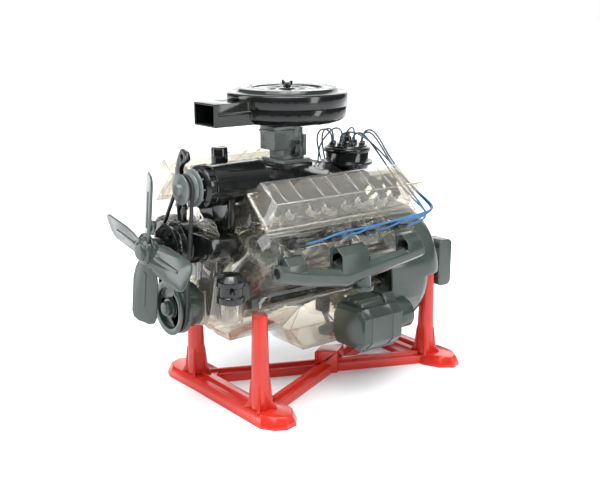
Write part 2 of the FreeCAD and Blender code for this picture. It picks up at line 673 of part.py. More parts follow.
def fan_pulley():
    pulley = grooved_pulley(FAN_PULLEY_R, 0, FAN_Z, 2)
    dish = lathe_y([(5.5, BELT_Y - 5), (12, BELT_Y - 5), (12, BELT_Y - 1.5), (5.5, BELT_Y - 1.5)], 0, FAN_Z)
    hub = ycyl(7.0, 0, FAN_Z, FAN_Y + 2.0, BELT_Y - 3)
    shaft = ycyl(2.4, 0, FAN_Z, BELT_Y, -72)
    return fuse(cut(pulley, dish), hub, shaft)


def crank_pulley():
    y = BELT_Y
    pulley = grooved_pulley(CRANK_PULLEY_R, 0, CRANK_Z, 3)
    dish = lathe_y([(0, y - 5), (13.4, y - 5), (13.4, y - 1), (0, y - 1)], 0, CRANK_Z)
    windows = [ycyl(3.2, x, CRANK_Z + z, y - 6, y + 6) for _, x, z in ring_of(3, 9.9, math.radians(-65))]
    hub = ycyl(6.4, 0, CRANK_Z, CRANK_NOSE - 1.4, y)
    balancer = lathe_y([(5, y + 4), (13.5, y + 4), (14.6, y + 5), (14.6, y + 14), (5, y + 14)], 0, CRANK_Z)
    whole = fuse(cut(pulley, dish, *windows), hub, balancer)
    return cut(whole, ycyl(5.2 + RUN, 0, CRANK_Z, CRANK_NOSE - 0.3, y + 30))


def crank_bolt():
    y = CRANK_NOSE - 1.4
    return lathe_y([(0, y - 3.2), (4.2, y - 3.2), (4.8, y - 2.4), (4.8, y), (0, y)], 0, CRANK_Z)


def generator():
    x, z = GENERATOR_X, GENERATOR_Z
    can = lathe_y(
        [(0, -71), (GENERATOR_R, -71), (GENERATOR_R, -34), (GENERATOR_R - 1.6, -32), (0, -32)], x, z
    )
    collar = lathe_y(
        [(0, -79), (11.5, -79), (GENERATOR_R + 0.6, -77), (GENERATOR_R + 0.6, -71), (0, -71)], x, z
    )
    slots = []
    for a, dx, dz in ring_of(12, GENERATOR_R + 0.6):
        slot = box(-1.9, 3, -76.4, -72.2, -1.6, 1.6)
        slot.rotate(V(0, 0, 0), V(0, 1, 0), -math.degrees(a))
        slot.translate(V(x + dx, 0, z + dz))
        slots.append(slot)
    chamber = ycyl(9.5, x, z, -77.4, -38)
    tail = ycyl(4.6, x, z, -32, -29.5)
    return cut(fuse(can, collar, tail), *slots, chamber, ycyl(2.0 + RUN, x, z, -82, -34))


def generator_pulley():
    x, z = GENERATOR_X, GENERATOR_Z
    cooler = lathe_y([(0, -82.8), (11.6, -82.4), (11.6, -81.2), (0, -80.4)], x, z)
    teeth = []
    for a, dx, dz in ring_of(10, 9.0):
        tooth = box(-2.2, 2.2, -81.4, -79.6, -0.5, 0.5)
        tooth.rotate(V(0, 0, 0), V(0, 1, 0), -math.degrees(a))
        tooth.translate(V(x + dx, 0, z + dz))
        teeth.append(tooth)
    shaft = ycyl(2.0, x, z, -94, -35)
    nut = ycyl(3.6, x, z, -94, -91)
    armature = ycyl(8.8, x, z, -70, -41)
    return fuse(grooved_pulley(GENERATOR_PULLEY_R, x, z, 1), cooler, *teeth, shaft, nut, armature)


def generator_bracket():
    x, z = GENERATOR_X, GENERATOR_Z
    strap_line = [
        (2, 131), (8, 131), (9, 141), (6, 150), (6, 160), (9.5, 167), (15, 171), (14, 175.5), (8, 177),
        (4, 172), (0, 162), (-1, 150)
    ]
    strap = prism_y(strap_line, -79.6 - 3.0, -79.6)
    strap = cut(
        strap,
        ycyl(1.7, 9.3, 172, -90, -70),
        ycyl(17.0, x, z, -90, -60).common(box(6.2, 60, -90, -60, 100, z + 14)),
    )
    cradle_line = [(20, 121), (30, 128), (31, 146), (26, 150), (14, 150), (9, 146), (12, 133)]
    cradle = prism_y(cradle_line, BLOCK_FRONT - 5, BLOCK_FRONT)
    cradle = cut(cradle, ycyl(GENERATOR_R + 0.05, x, z, -80, -20))
    return strap, cradle


def drive_belt():
    pulleys = [
        (0, CRANK_Z, CRANK_PULLEY_R),
        (GENERATOR_X, GENERATOR_Z, GENERATOR_PULLEY_R),
        (0, FAN_Z, FAN_PULLEY_R),
    ]

    def loop(grow, half):
        return hull_of_circles(pulleys, grow, BELT_Y - half, BELT_Y + half)

    return loop(-0.6, 1.0).cut(loop(-2.35, 1.0))


def water_pump():
    body = lathe_y([(0, -81.5), (8, -81.5), (13, -79), (13.5, -71), (0, -71)], 0, FAN_Z)
    arms, feet, pipes = [], [], []
    for s in (1, -1):
        arm_line = [(6, -7), (6, 9), (33, 9), (35, 2), (30, -4)]
        arms.append(prism_y([(s * x, FAN_Z + up) for x, up in arm_line], -78, -71))
        feet.append(box(min(s * 24, s * 34), max(s * 24, s * 34), -71, BLOCK_FRONT, FAN_Z - 2, FAN_Z + 8))
    pipes.append(rod_between(4.2, (-10, -75, FAN_Z - 6), (-30, -79, FAN_Z - 18)))
    nose = ycyl(6.0, 0, FAN_Z, -82.4, -80)
    whole = fuse(body, nose, *arms, *feet, *pipes)
    return cut(whole, ycyl(2.4 + RUN, 0, FAN_Z, -84, -71.6), ycyl(2.9, 0, FAN_Z, -83, -82))


def fuel_pump():
    x, y = 38.5, -68.0
    top = lathe_z(
        [(0, 84), (8.8, 84), (8.8, 88), (8.0, 88.8), (8.0, 94), (9.2, 95), (9.2, 98), (6, 102), (0, 103)],
        x,
        y,
    )
    flange = box(x - 6.5, x + 6.5, y + 3, BLOCK_FRONT, 86, 97)
    inlet = rod_between(1.7, (x, y, 92), (x + 11.5, y - 6, 92))
    outlet = rod_between(1.7, (x, y, 100), (x - 2, y - 10.5, 103))
    return fuse(top, flange, inlet, outlet)


def fuel_bowl():
    x, y = 38.5, -68.0
    return lathe_z([(0, 68.5), (5, 68.5), (7.2, 70.5), (7.8, 84), (6.3, 84), (5.8, 72), (0, 71)], x, y)


def oil_filler():
    x, y = FILLER
    tube = zcyl(4.3, x, y, 142, 163)
    cap = lathe_z([(0, 163), (5.2, 163), (5.4, 164), (5.4, 172.4), (4.8, 173.4), (0, 173.4)], x, y)
    return tube, cap


def thermostat_neck():
    x, y = NECK
    base = zcyl(7.0, x, y, 141.2, 143.4)
    riser = zcyl(4.4, x, y, 143, 150)
    elbow = rod_between(4.4, (x, y, 149), (x - 3, y - 16, 155))
    ball = Part.makeSphere(4.4, V(x, y, 149.5))
    return fuse(base, riser, elbow, ball)


# --- exhaust, ignition and starter --------------------------------------------------------------
def octagon_bar(a, b, ra, rb, flat=0.42):
    """A straight bar with chamfered square ends, from a to b, both points."""

    def ring(p, r):
        c = r * flat
        corners = [(r, -c), (r, c), (c, r), (-c, r), (-r, c), (-r, -c), (-c, -r), (c, -r), (r, -c)]
        return Part.makePolygon([V(p[0] + x, p[1], p[2] + z) for x, z in corners])

    return Part.makeLoft([ring(a, ra), ring(b, rb)], True, True)


def exhaust_manifold(side):
    x = PORT_X + 5.5
    front, dip, rear = (x, -60, 109.0), (x, -9, 97.5), (x, 57, 106.0)
    shoulder = (x, -43, 104.5)
    logs = [octagon_bar(front, shoulder, 5.4, 5.4), octagon_bar(shoulder, dip, 5.4, 5.8)]
    logs.append(octagon_bar(dip, rear, 5.8, 5.2))
    stubs = []
    low, high = PORT_Z
    for (y, width), bar_z in zip(EXHAUST_PORTS, (106, 98, 104)):
        outline = [
            (PORT_X + 0.02, low + 0.5), (PORT_X + 0.02, high), (PORT_X + 4.5, high + 1),
            (PORT_X + 9.5, high - 3)
        ]
        outline += [(x + 5.2, bar_z + 2), (x + 3, bar_z - 3), (x - 3, bar_z - 3), (x - 5.0, bar_z)]
        stubs.append(prism_y(outline, y - width / 2 + 1, y + width / 2 - 1))
        stubs.append(
            box(PORT_X + 0.02, PORT_X + 1.8, y - width / 2 - 1, y + width / 2 + 1, low - 0.5, high + 0.5)
        )
    heat_riser = box(x - 2, x + 2, 12, 38, 104, 108.5)
    outlet = fuse(zcyl(5.0, x, 8, 87, 97), zcyl(6.6, x, 8, 87, 89.5))
    bores = [zcyl(3.6, x, 8, 86, 94), ycyl(3.2, x, 109.0, -61, -57)]
    for y, width in EXHAUST_PORTS[1:]:
        bores.append(ycyl(4.2, PORT_X + 5.3, low + 6.2, y - width / 2, y - width / 2 + 8))
    whole = cut(fuse(*logs, *stubs, heat_riser, outlet), *bores)
    return whole if side > 0 else mirror_x(whole)


PLUG_TIP = 5.4  # how far a plug stands out of its seat
BOOT_X = 73.0  # middle of the boots' rearward arms
BOOT_ARM = 7.0


def turned_x(hr, x, y, z):
    """A solid turned about a line along X from (distance, radius) points."""
    return polygon([(x + h, y, z + r) for h, r in hr]).revolve(V(x, y, z), V(1, 0, 0), 360)


def spark_plugs():
    made = []
    for side in (1, -1):
        for y in bore_ys(side):
            hr = [
                (-4.6, 0), (-4.6, 2.4), (0.1, 2.4), (0.1, 3.3), (2.0, 3.3), (2.4, 1.5), (PLUG_TIP, 1.3),
                (PLUG_TIP, 0)
            ]
            plug = turned_x(hr, PLUG_X, y, PLUG_Z)
            made.append(plug if side > 0 else mirror_x(plug))
    return made


def plug_boots():
    """A right-angled rubber boot on each plug, its arm pointing rearwards to the lead."""
    made = []
    for side in (1, -1):
        for y in bore_ys(side):
            cap = turned_x([(2.6, 0), (2.6, 1.9), (7.0, 2.0), (7.6, 1.4), (7.6, 0)], PLUG_X, y, PLUG_Z)
            arm = ycyl(1.6, BOOT_X, PLUG_Z, y, y + BOOT_ARM)
            boot = cut(
                fuse(cap, arm),
                turned_x([(2.4, 0), (2.4, 1.52), (PLUG_TIP, 1.32), (PLUG_TIP, 0)], PLUG_X, y, PLUG_Z),
            )
            made.append(boot if side > 0 else mirror_x(boot))
    return made


def distributor_body():
    x, y = 0, DISTRIBUTOR_Y
    outline = [(0, 119.6), (4.6, 119.6), (4.6, 136), (7.5, 138), (7.5, 146), (14.6, 149.6), (15.2, 150.4)]
    outline += [(15.2, 152.4), (18.2, 153), (18.2, 155), (15.2, 155.6), (15.2, 161.8)]
    body = lathe_z(outline + [(13.2, 161.8), (13.2, 152.6), (0, 152.6)], x, y)
    vacuum = fuse(rod_between(5.0, (9, y, 145), (19, y, 145)), rod_between(2.2, (4, y, 145), (22, y, 145)))
    clamp = box(-4.2, 4.2, y - 10, y - 3, 136, 138)
    return cut(fuse(body, vacuum, clamp), zcyl(1.6 + RUN, x, y, 118, 156))


def distributor_cap():
    x, y = 0, DISTRIBUTOR_Y
    outline = [
        (13.2, 161.8), (16.4, 161.8), (16.4, 164.2), (15.6, 165), (14.4, 165.4), (13.8, 166.4), (0, 166.4)
    ]
    outline += [(0, 164.6), (11.6, 164.6), (13.2, 163.4)]
    towers = []
    for _, dx, dy in ring_of(8, TOWER_RING, math.radians(22.5)):
        towers.append(zcyl(2.0, x + dx, y + dy, 165.5, TOWER_TOP))
    middle = lathe_z(
        [
            (0, 165.5), (4.6, 165.5), (4.0, 168), (3.0, 169), (3.0, 172), (1.8, 172.6), (1.8, 174.6),
            (0, 174.6)
        ],
        x,
        y,
    )
    return fuse(lathe_z(outline, x, y), *towers, middle)


def distributor_rotor():
    x, y = 0, DISTRIBUTOR_Y
    shaft = zcyl(1.6, x, y, 122, 158)
    arm = box(x - 1.8, x + 6.9, y - 1.6, y + 1.6, 158, 161)
    hub = zcyl(3.0, x, y, 157, 163)
    return fuse(shaft, arm, hub)


def octagon_loft(x, z, plan, steps):
    """A skin over scaled copies of one plan, given as (scale, y) steps."""
    loops = []
    for scale, y in steps:
        ring = [V(x + dx * scale, y, z + dz * scale) for dx, dz in plan]
        loops.append(Part.makePolygon(ring + ring[:1]))
    return Part.makeLoft(loops, True, True)


def starter_housing():
    x, z = STARTER_X, STARTER_Z
    plan = [
        (-12, -15.2), (10.5, -15.2), (15.6, -9.5), (15.6, 8), (11.5, 14), (-12, 14), (-15.5, 8),
        (-15.5, -9)
    ]
    barrel = octagon_loft(x, z, plan, [(0.84, 20.5), (1, 24), (1, 57.5), (0.84, BLOCK_REAR + 0.1)])
    foot = prism_y([(x - 7, z - 14), (x + 8, z - 14), (x + 8, z - 18), (x - 7, z - 18)], 30, 58)
    seams = [prism_y([(x + dx * 1.03, z + dz * 1.03) for dx, dz in plan], y, y + 1.2) for y in (30, 49)]
    switch_line = [(-13, 12), (-10.5, 16.5), (-8, 18.4), (4, 18.4), (7, 16.5), (9.5, 12)]
    switch = prism_y([(x + dx, z + dz) for dx, dz in switch_line], 27, 47)
    mount_line = [(-13, 12), (-11, 18), (-9, 20.2), (6, 20.2), (8.5, 18), (11, 12)]
    mount = prism_y([(x + dx, z + dz) for dx, dz in mount_line], 47, 57)
    screws = [ycyl(1.3, x + dx, z + 17, 25, 28) for dx in (-5, 2)]
    return cut(
        fuse(barrel, foot, *seams, switch, mount, *screws),
        ycyl(13.0, x, z, 26, 56.5),
        ycyl(8.8, x, z, 56, 90),
    )


def drive_motor():
    x, z = STARTER_X, STARTER_Z
    can = lathe_y([(0, 26), (5, 26), (5, 28.5), (12.4, 28.5), (12.4, 55), (0, 55)], x, z)
    return cut(can, ycyl(1.5 + RUN, x, z, 40, 70))


def drive_pinion():
    x, z = STARTER_X, STARTER_Z
    shaft = ycyl(1.5, x, z, 42, 73)
    y0, y1 = FLYWHEEL_Y - 0.5, FLYWHEEL_Y + FLYWHEEL_WIDTH + 0.5
    tooth_at = pinion_angle() + math.pi + math.pi / PINION_TEETH
    return fuse(shaft, gear(RING_MODULE, PINION_TEETH, x, z, y0, y1, tooth_at))


# --- rear end -----------------------------------------------------------------------------------
def bell_outline(gap):
    """Radius and place along Y of the bell's low part and of the dome over its rear, less a wall's gap."""
    y0 = BLOCK_REAR + 0.2 - gap
    low = [
        (0, y0), (47.8, y0), (47.8, 90), (46, 96), (41.5, 101), (34, 104.5), (24, 106), (22, BELL_REAR),
        (0, BELL_REAR)
    ]
    dome = [
        (0, y0), (47.8, y0), (47.8, 96), (47.2, 101), (45.8, 105.5), (43.4, 109.5), (40, 112.6),
        (35.6, 114.6), (30, DOME_REAR), (0, DOME_REAR)
    ]
    return [
        [(max(r - gap, 0), min(y, y_end - gap)) for r, y in line]
        for line, y_end in ((low, BELL_REAR), (dome, DOME_REAR))
    ]


def bellhousing():
    z = CRANK_Z
    y0 = BLOCK_REAR + 0.2
    low, dome = [lathe_y(line, 0, z) for line in bell_outline(0)]
    low_inside, dome_inside = [lathe_y(line, 0, z) for line in bell_outline(1.6)]
    shell = fuse(low, dome.common(box(-60, 60, 50, 130, z, z + 60)))
    hollow = fuse(low_inside, dome_inside.common(box(-60, 60, 50, 130, z + WALL, z + 60)))
    pocket = ycyl(10.4, STARTER_X, STARTER_Z, y0, 75)
    foot_y0, foot_y1 = REAR_POST_Y - 9, REAR_POST_Y + 5
    ears = []
    for s in (1, -1):
        x0, x1 = REAR_POST_X - 9, REAR_POST_X + 6
        line = [(x0, -2), (x1, -2), (x1, 2), (x1 - 5, 13), (x0, 18)]
        ears.append(prism_y([(s * x, z + up) for x, up in line], foot_y0, foot_y1))
    lugs = [ycyl(3.0, dx, z + dz, y0, 65) for _, dx, dz in ring_of(6, 46.8, math.radians(30))]
    window = box(-60, 60, 61, 120, 0, z - 33)
    bores = [ycyl(8.8, STARTER_X, STARTER_Z, y0 - 1, 74), ycyl(7, 0, z, 100, 130), window]
    return cut(fuse(shell, pocket, *ears, *lugs), hollow, *bores, zcyl(5.0, 0, DISTRIBUTOR_Y, 110, 200))


def gear_case():
    """Reduction case behind the bellhousing: a slab with its long corners rounded, on a low pad."""
    slab = box(21, 36, REAR_POST_Y + 5.7, REAR_POST_Y + 18.5, 59, 94)
    long_edges = []
    for edge in slab.Edges:
        ends = [v.Point for v in edge.Vertexes]
        if abs(ends[0].x - ends[1].x) > 1:
            long_edges.append(edge)
    pad = box(22, 35, REAR_POST_Y + 5, REAR_POST_Y + 6, 76, 88)
    return fuse(slab.makeFillet(4.0, long_edges), pad)


# --- stand --------------------------------------------------------------------------------------
def crossbar(plan, y_rib, rib_half):
    """A low bar with sloped sides, its plan given as the (x, y) points of its outline."""
    middle_y = (min(y for _, y in plan) + max(y for _, y in plan)) / 2

    def loop(inset, z):
        points = []
        for x, y in plan:
            dy = y - middle_y
            points.append(V(x - math.copysign(inset, x), y - math.copysign(min(inset, abs(dy)), dy), z))
        return Part.makePolygon(points + [points[0]])

    bar = Part.makeLoft([loop(0, 0), loop(0.4, 2.5), loop(2.4, BAR_H)], True, True)
    rib = box(-rib_half, rib_half, y_rib - 1, y_rib + 1, BAR_H - 1, BAR_H + 2.2)
    return fuse(bar, rib)


def post(x, y, top):
    """A tapered post with four gussets at its foot."""
    column = Part.makeCone(6.4, 5.0, top - BAR_H, V(x, y, BAR_H), V(0, 0, 1))
    fins = []
    for k in range(4):
        fin = prism_y([(3, 0), (11.0, 0), (8, 5), (6.6, 18), (4.6, 25), (3, 25)], -1.0, 1.0)
        fin.rotate(V(0, 0, 0), V(0, 0, 1), 45 + 90 * k)
        fin.translate(V(x, y, BAR_H))
        fins.append(fin)
    return fuse(column, *fins)


def stand():
    front_plan = [
        (30, -56.5), (52, -56.5), (60, -51), (64, -44), (62, -35), (54, -28.5), (36, -28.5), (28, -37)
    ]
    front_plan += [
        (-28, -37), (-36, -28.5), (-58, -29), (-69, -36), (-73, -45), (-69, -54), (-60, -57.5),
        (-30, -56.5)
    ]
    rear_half = [
        (20, 104.5), (36, 104.5), (48, 110), (54.5, 119), (52, 127), (44, 131.5), (30, 131.5), (20, 127)
    ]
    rear_plan = rear_half + [(-x, y) for x, y in reversed(rear_half)]
    front_bar = crossbar(front_plan, FRONT_POST_Y, FRONT_POST_X)
    rear_bar = crossbar(rear_plan, REAR_POST_Y + 3, REAR_POST_X)
    fronts = [post(s * FRONT_POST_X, FRONT_POST_Y, CRANK_Z - 2.2) for s in (1, -1)]
    rears = [post(s * REAR_POST_X, REAR_POST_Y, CRANK_Z - 2.0) for s in (1, -1)]
    rails = []
    for s in (1, -1):
        a, b = V(s * FRONT_POST_X, FRONT_POST_Y, 0), V(-s * REAR_POST_X, REAR_POST_Y, 0)
        along = (b - a).normalize()
        across = V(-along.y, along.x, 0)
        for half, z0, z1 in ((5.2, 0, 6.4), (1.2, 6.0, 9.0)):
            corners = [a + across * half, b + across * half, b - across * half, a - across * half]
            rails.append(prism_z([(p.x, p.y) for p in corners], z0, z1))
    hub_y = FRONT_POST_Y + (REAR_POST_Y - FRONT_POST_Y) * FRONT_POST_X / (FRONT_POST_X + REAR_POST_X)
    hub = prism_z([(-9, hub_y), (0, hub_y - 14), (9, hub_y), (0, hub_y + 14)], 0, 17)
    brace = cut(fuse(*rails, hub), front_bar, rear_bar, *fronts, *rears)
    posts = [cut(p, bar) for p, bar in zip(fronts + rears, (front_bar, front_bar, rear_bar, rear_bar))]
    brace = max(brace.Solids, key=lambda solid: solid.Volume)
    return front_bar, rear_bar, posts, brace


# --- oil pickup and wires -----------------------------------------------------------------------
def oil_pickup():
    cap_y = MAIN_YS[3]
    tube = rod_between(1.5, (9, cap_y, 53), (5.6, 39.5, 35))
    body = box(4, 14, cap_y - 2.5, cap_y + 2.5, 51, CRANK_Z - 10)
    bell = lathe_z([(0, 38.6), (3, 38.6), (9, 34.6), (9, 31.6), (7.6, 31.6), (7.6, 33.6), (0, 35)], 5, 40)
    return fuse(tube, body, bell)


WIRE_R = 0.65
# Each plug lead's route, placed by hand, from its tower on the cap to the arm of its plug's boot.
LEFT_WIRES = [
    [(4.3, 47.7, 168.5), (4.4, 47.6, 172.5), (6.8, 48.4, 175.8), (12, 51.4, 177.2), (18.8, 55.4, 174.9),
     (26.3, 60.4, 168.2), (34.5, 64.8, 159.7), (44.5, 67.8, 150.6), (55.5, 70, 142.2), (66, 71.8, 135.8),
     (75.5, 69.5, 132.4), (79.8, 60.5, 131.4), (79.4, 46, 130.2), (78, 26, 128.4), (76.6, 6, 127.6),
     (75.4, -11, 127), (73, -26, 123), (73, -36.9, 123)],
    [(4.3, 68.3, 168.5), (4.4, 68.4, 172.7), (6.6, 69.6, 176.2), (11.6, 71, 176.9), (17.7, 71.9, 172),
     (25, 72.2, 163.5), (35, 72.5, 154), (46.5, 72.9, 145), (58, 73, 137.7), (69, 72.2, 132.6),
     (76.6, 66.8, 130.2), (77.9, 55.5, 129.2), (76.5, 36, 128.6), (74.9, 16, 127), (73, 3, 123),
     (73, -8.9, 123)],
    [(10.3, 53.7, 168.5), (10.4, 53.8, 172.7), (13, 54.6, 176), (17.6, 56.6, 176.6), (22.6, 60.4, 169.5),
     (28.8, 64.4, 160), (36.5, 66.6, 150.5), (46.5, 67.8, 141.8), (57, 68.6, 134.8), (67.2, 68.5, 129.9),
     (74.6, 64.6, 127.6), (75.6, 55, 127.2), (74.7, 42, 126.7), (73, 29.5, 123), (73, 19.1, 123)],
    [(10.3, 62.3, 168.5), (10.4, 62.3, 172.7), (13, 63, 176), (18, 64.4, 176.2), (23.8, 66.2, 170),
     (30.6, 67.8, 161), (39, 69.4, 151.4), (48.4, 70.6, 142.2), (57.6, 71, 134.9), (66.3, 70.2, 129),
     (72, 66, 125), (73, 56.2, 123), (73, 47.1, 123)],
]
RIGHT_WIRES = [
    [(-4.3, 47.7, 168.5), (-4.4, 47.6, 172.5), (-6.9, 47.4, 175.8), (-12.5, 47.2, 177), (-19, 47.8, 175),
     (-24, 49.5, 169.2), (-26.5, 53, 161), (-30.5, 58.5, 153), (-37.8, 65.5, 148.6), (-47, 71.2, 145.4),
     (-57.5, 74.6, 140.6), (-69, 75.4, 135.8), (-78.6, 71.4, 132.4), (-80.8, 61, 131.6), (-79.8, 44, 130.4),
     (-78.5, 24, 128.8), (-77, 4, 127.8), (-75.4, -9.5, 126.8), (-73, -21, 123), (-73, -31.1, 123)],
    [(-4.3, 68.3, 168.5), (-4.4, 68.4, 172.7), (-6.7, 69.7, 176.1), (-11.6, 71.2, 176.5),
     (-18.3, 72.2, 171.3), (-26.5, 72.5, 162.7), (-36.5, 72.8, 153), (-47.5, 73.2, 144.2),
     (-58.5, 73.4, 137), (-69.2, 72.4, 132.4), (-77.2, 67, 130.4), (-78.6, 55.5, 129.9),
     (-77.3, 37, 128.8), (-75.6, 19, 127.4), (-73, 7, 123), (-73, -3.1, 123)],
    [(-10.3, 53.7, 168.5), (-10.4, 53.8, 172.6), (-13, 54.2, 175.9), (-19, 55, 176.2), (-25.5, 56.5, 173.2),
     (-28.6, 58, 167), (-29.4, 60, 159), (-31.5, 63.5, 151), (-37.5, 67.5, 143.5), (-47, 70.2, 137.7),
     (-58, 71.4, 133.2), (-68.8, 70.8, 129.4), (-75.4, 65.4, 127.8), (-76.3, 54, 127.4), (-75, 43, 126.6),
     (-73, 33.5, 123), (-73, 24.9, 123)],
    [(-10.3, 62.3, 168.5), (-10.4, 62.3, 172.7), (-13.2, 62, 175.9), (-18.8, 61.4, 176), (-26.5, 61, 170.2),
     (-34, 61.4, 163), (-38.6, 63, 155.3), (-42.5, 65.8, 147.5), (-49.5, 67.8, 140.5), (-58.5, 68.6, 134.3),
     (-66.5, 68.2, 128.8), (-72, 66, 124.8), (-73, 59.6, 123), (-73, 52.9, 123)],
]


def cord_tube(points, radius):
    """A tube of straight runs joined by tangent arcs, each as large as its two runs allow."""
    route = [V(*p) for p in points]
    runs = [(b - a).Length for a, b in zip(route, route[1:])]
    edges, bends, start = [], [], route[0]
    for i in range(1, len(route) - 1):
        into = (route[i] - route[i - 1]).normalize()
        out = (route[i + 1] - route[i]).normalize()
        turn = into.getAngle(out)
        trim = 0.45 * min(runs[i - 1], runs[i])
        bends.append(trim / math.tan(turn / 2))
        first, last = route[i] - into * trim, route[i] + out * trim
        inward = (out - into).normalize()
        middle = route[i] + inward * (bends[-1] / math.cos(turn / 2) - bends[-1])
        edges.append(Part.LineSegment(start, first).toShape())
        edges.append(Part.Arc(first, middle, last).toShape())
        start = last
    edges.append(Part.LineSegment(start, route[-1]).toShape())
    path = Part.Wire(edges)
    ring = Part.Wire([Part.Circle(route[0], route[1] - route[0], radius).toShape()])
    tube = path.makePipeShell([ring], True, False)
    ideal = math.pi * radius**2 * path.Length
    ratio = round(tube.Volume / ideal, 4)
    print("lead", round(path.Length, 1), "mm, smallest bend", round(min(bends), 1), "volume ratio", ratio)
    return tube


def main():
    add("engine_block", engine_block())
    add("main_bearing_caps", *main_bearing_caps())
    add("oil_pan", oil_pan())
    add("timing_cover", timing_cover())
    for side, word in ((1, "left"), (-1, "right")):
        add("cylinder_head_" + word, cylinder_head(side))
        add("valve_cover_" + word, valve_cover(side))
        add("exhaust_manifold_" + word, exhaust_manifold(side))
        for throws, place in (((0, 3), "outer"), ((1, 2), "inner")):
            made = [shape for i in throws for shape in piston_and_pin(i, side)]
            add(f"pistons_{word}_{place}", *made)
    for throws, place in (((0, 3), "outer"), ((1, 2), "inner")):
        add(f"connecting_rods_{place}", *[connecting_rod(i, side) for i in throws for side in (1, -1)])
    crank_gear, cam_gear = timing_gear_teeth()
    add("crankshaft", crankshaft())
    add("crank_gear", crank_gear)
    add("camshaft", camshaft())
    add("cam_gear", cam_gear)
    add("flywheel", flywheel())
    add("rocker_arms", *rocker_arms())
    add("valve_springs", *valve_springs())
    add("valves", *valves())
    rods, lifters = pushrods_and_lifters()
    add("pushrods_and_lifters", *rods, *lifters)
    add("intake_manifold", intake_manifold())
    add("carburetor", carburetor())
    add("throttle_shaft", throttle_shaft())
    add("air_cleaner_base", air_cleaner_base())
    add("air_filter", air_filter())
    add("air_cleaner_lid", air_cleaner_lid())
    add("wing_nut", wing_nut())
    add("fan", fan())
    add("fan_pulley", fan_pulley())
    add("crank_pulley", crank_pulley(), crank_bolt())
    add("generator", generator())
    add("generator_pulley", generator_pulley())
    strap, cradle = generator_bracket()
    add("generator_brackets", strap, cradle)
    add("drive_belt", drive_belt())
    add("water_pump", water_pump())
    add("fuel_pump", fuel_pump())
    add("fuel_bowl", fuel_bowl())
    tube, cap = oil_filler()
    add("oil_filler", tube, cap)
    add("thermostat_neck", thermostat_neck())
    add("spark_plugs", *spark_plugs(), *plug_boots())
    add("ignition_wires_left", *[cord_tube(points, WIRE_R) for points in LEFT_WIRES])
    add("ignition_wires_right", *[cord_tube(points, WIRE_R) for points in RIGHT_WIRES])
    add("distributor_body", distributor_body())
    add("distributor_cap", distributor_cap())
    add("distributor_rotor", distributor_rotor())
    add("starter_housing", starter_housing())
    add("drive_motor", drive_motor())
    add("drive_pinion", drive_pinion())
    add("bellhousing", bellhousing())
    add("gear_case", gear_case())
    front_bar, rear_bar, posts, brace = stand()
    add("stand_front_bar", front_bar)
    add("stand_rear_bar", rear_bar)
    add("stand_posts", *posts)
    add("stand_brace", brace)
    add("oil_pickup", oil_pickup())
    os.makedirs("parts", exist_ok=True)
    for name, shape in parts.items():
        bad = [s for s in shape.Solids if not s.isValid()]
        print(name, len(shape.Solids), "solids", round(shape.Volume), "mm3", "INVALID" if bad else "")
        shape.exportStep(f"parts/{name}.step")


main()
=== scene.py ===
"""Looks of the transparent V8 display engine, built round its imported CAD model.

The model's own frame: +X is the engine's left, +Y runs from the fan to the gear case, +Z is up.
Shape sizes are in millimetres from the engine's own middle. The camera, the lamps, and the leads'
diameter and lengths are in metres. A noise scale is per metre.
"""

import json
import math
import bmesh
import bpy
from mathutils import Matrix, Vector


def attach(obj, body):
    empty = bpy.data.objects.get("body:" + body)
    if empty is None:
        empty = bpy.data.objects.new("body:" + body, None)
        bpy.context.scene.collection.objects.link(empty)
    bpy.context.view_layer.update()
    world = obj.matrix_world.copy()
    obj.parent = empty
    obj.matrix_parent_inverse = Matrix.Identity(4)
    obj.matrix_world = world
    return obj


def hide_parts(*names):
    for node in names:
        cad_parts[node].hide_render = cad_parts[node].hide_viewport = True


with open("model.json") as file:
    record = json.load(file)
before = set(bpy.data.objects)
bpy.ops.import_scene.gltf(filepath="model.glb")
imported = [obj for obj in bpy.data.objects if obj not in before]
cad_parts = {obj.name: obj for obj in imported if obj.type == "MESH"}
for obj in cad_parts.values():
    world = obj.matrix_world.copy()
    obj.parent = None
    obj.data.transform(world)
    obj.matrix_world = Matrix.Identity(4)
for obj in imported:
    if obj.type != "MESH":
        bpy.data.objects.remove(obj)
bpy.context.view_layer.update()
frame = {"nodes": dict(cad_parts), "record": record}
nodes = frame["nodes"]
MM = 0.001
ROW_Y = -10.5  # from the engine's own middle to the row's

# Where the cylinders are
CRANK_Z = 74.5
BANK_SLANT = math.sqrt(0.5)  # sine and cosine of a bank's 45 degrees
BORES = 4  # in each bank
BORE_PITCH = 28.0
MID_Y = 1.0  # the middle of the row of crank throws
ROD_PITCH = 5.8  # stagger between the two banks
VALVE_V = -3.0  # each valve's place across its bank
VALVE_GAP = 6.0  # each valve's distance from its bore's middle, along Y

# Valve springs, each along its valve's stem
SPRING_U = (86.0, 91.0)  # where the wire starts and ends, up the bank from the crank
SPRING_R = 2.62
SPRING_WIRE_R = 0.42
SPRING_TURNS = 5.0
SPRING_STEPS = 90
SPRING_FLAT = 0.08  # share of the wire that lies flat at each end
WIRE_SIDES = 8

# Air filter
CLEANER_Y = 5.0
FILTER_R = (25.0, 33.0)
FILTER_Z = (189.4, 204.6)
PLEATS = 90
PLEAT_DEPTH = 1.2
PLEAT_INSET = 0.3  # the folds' gap to the rims' inner and outer edges
PLEAT_END = 0.6  # how far the folds stop short of each rim's outer face
RIM_HEIGHT = 0.8
RIM_SIDES = 96

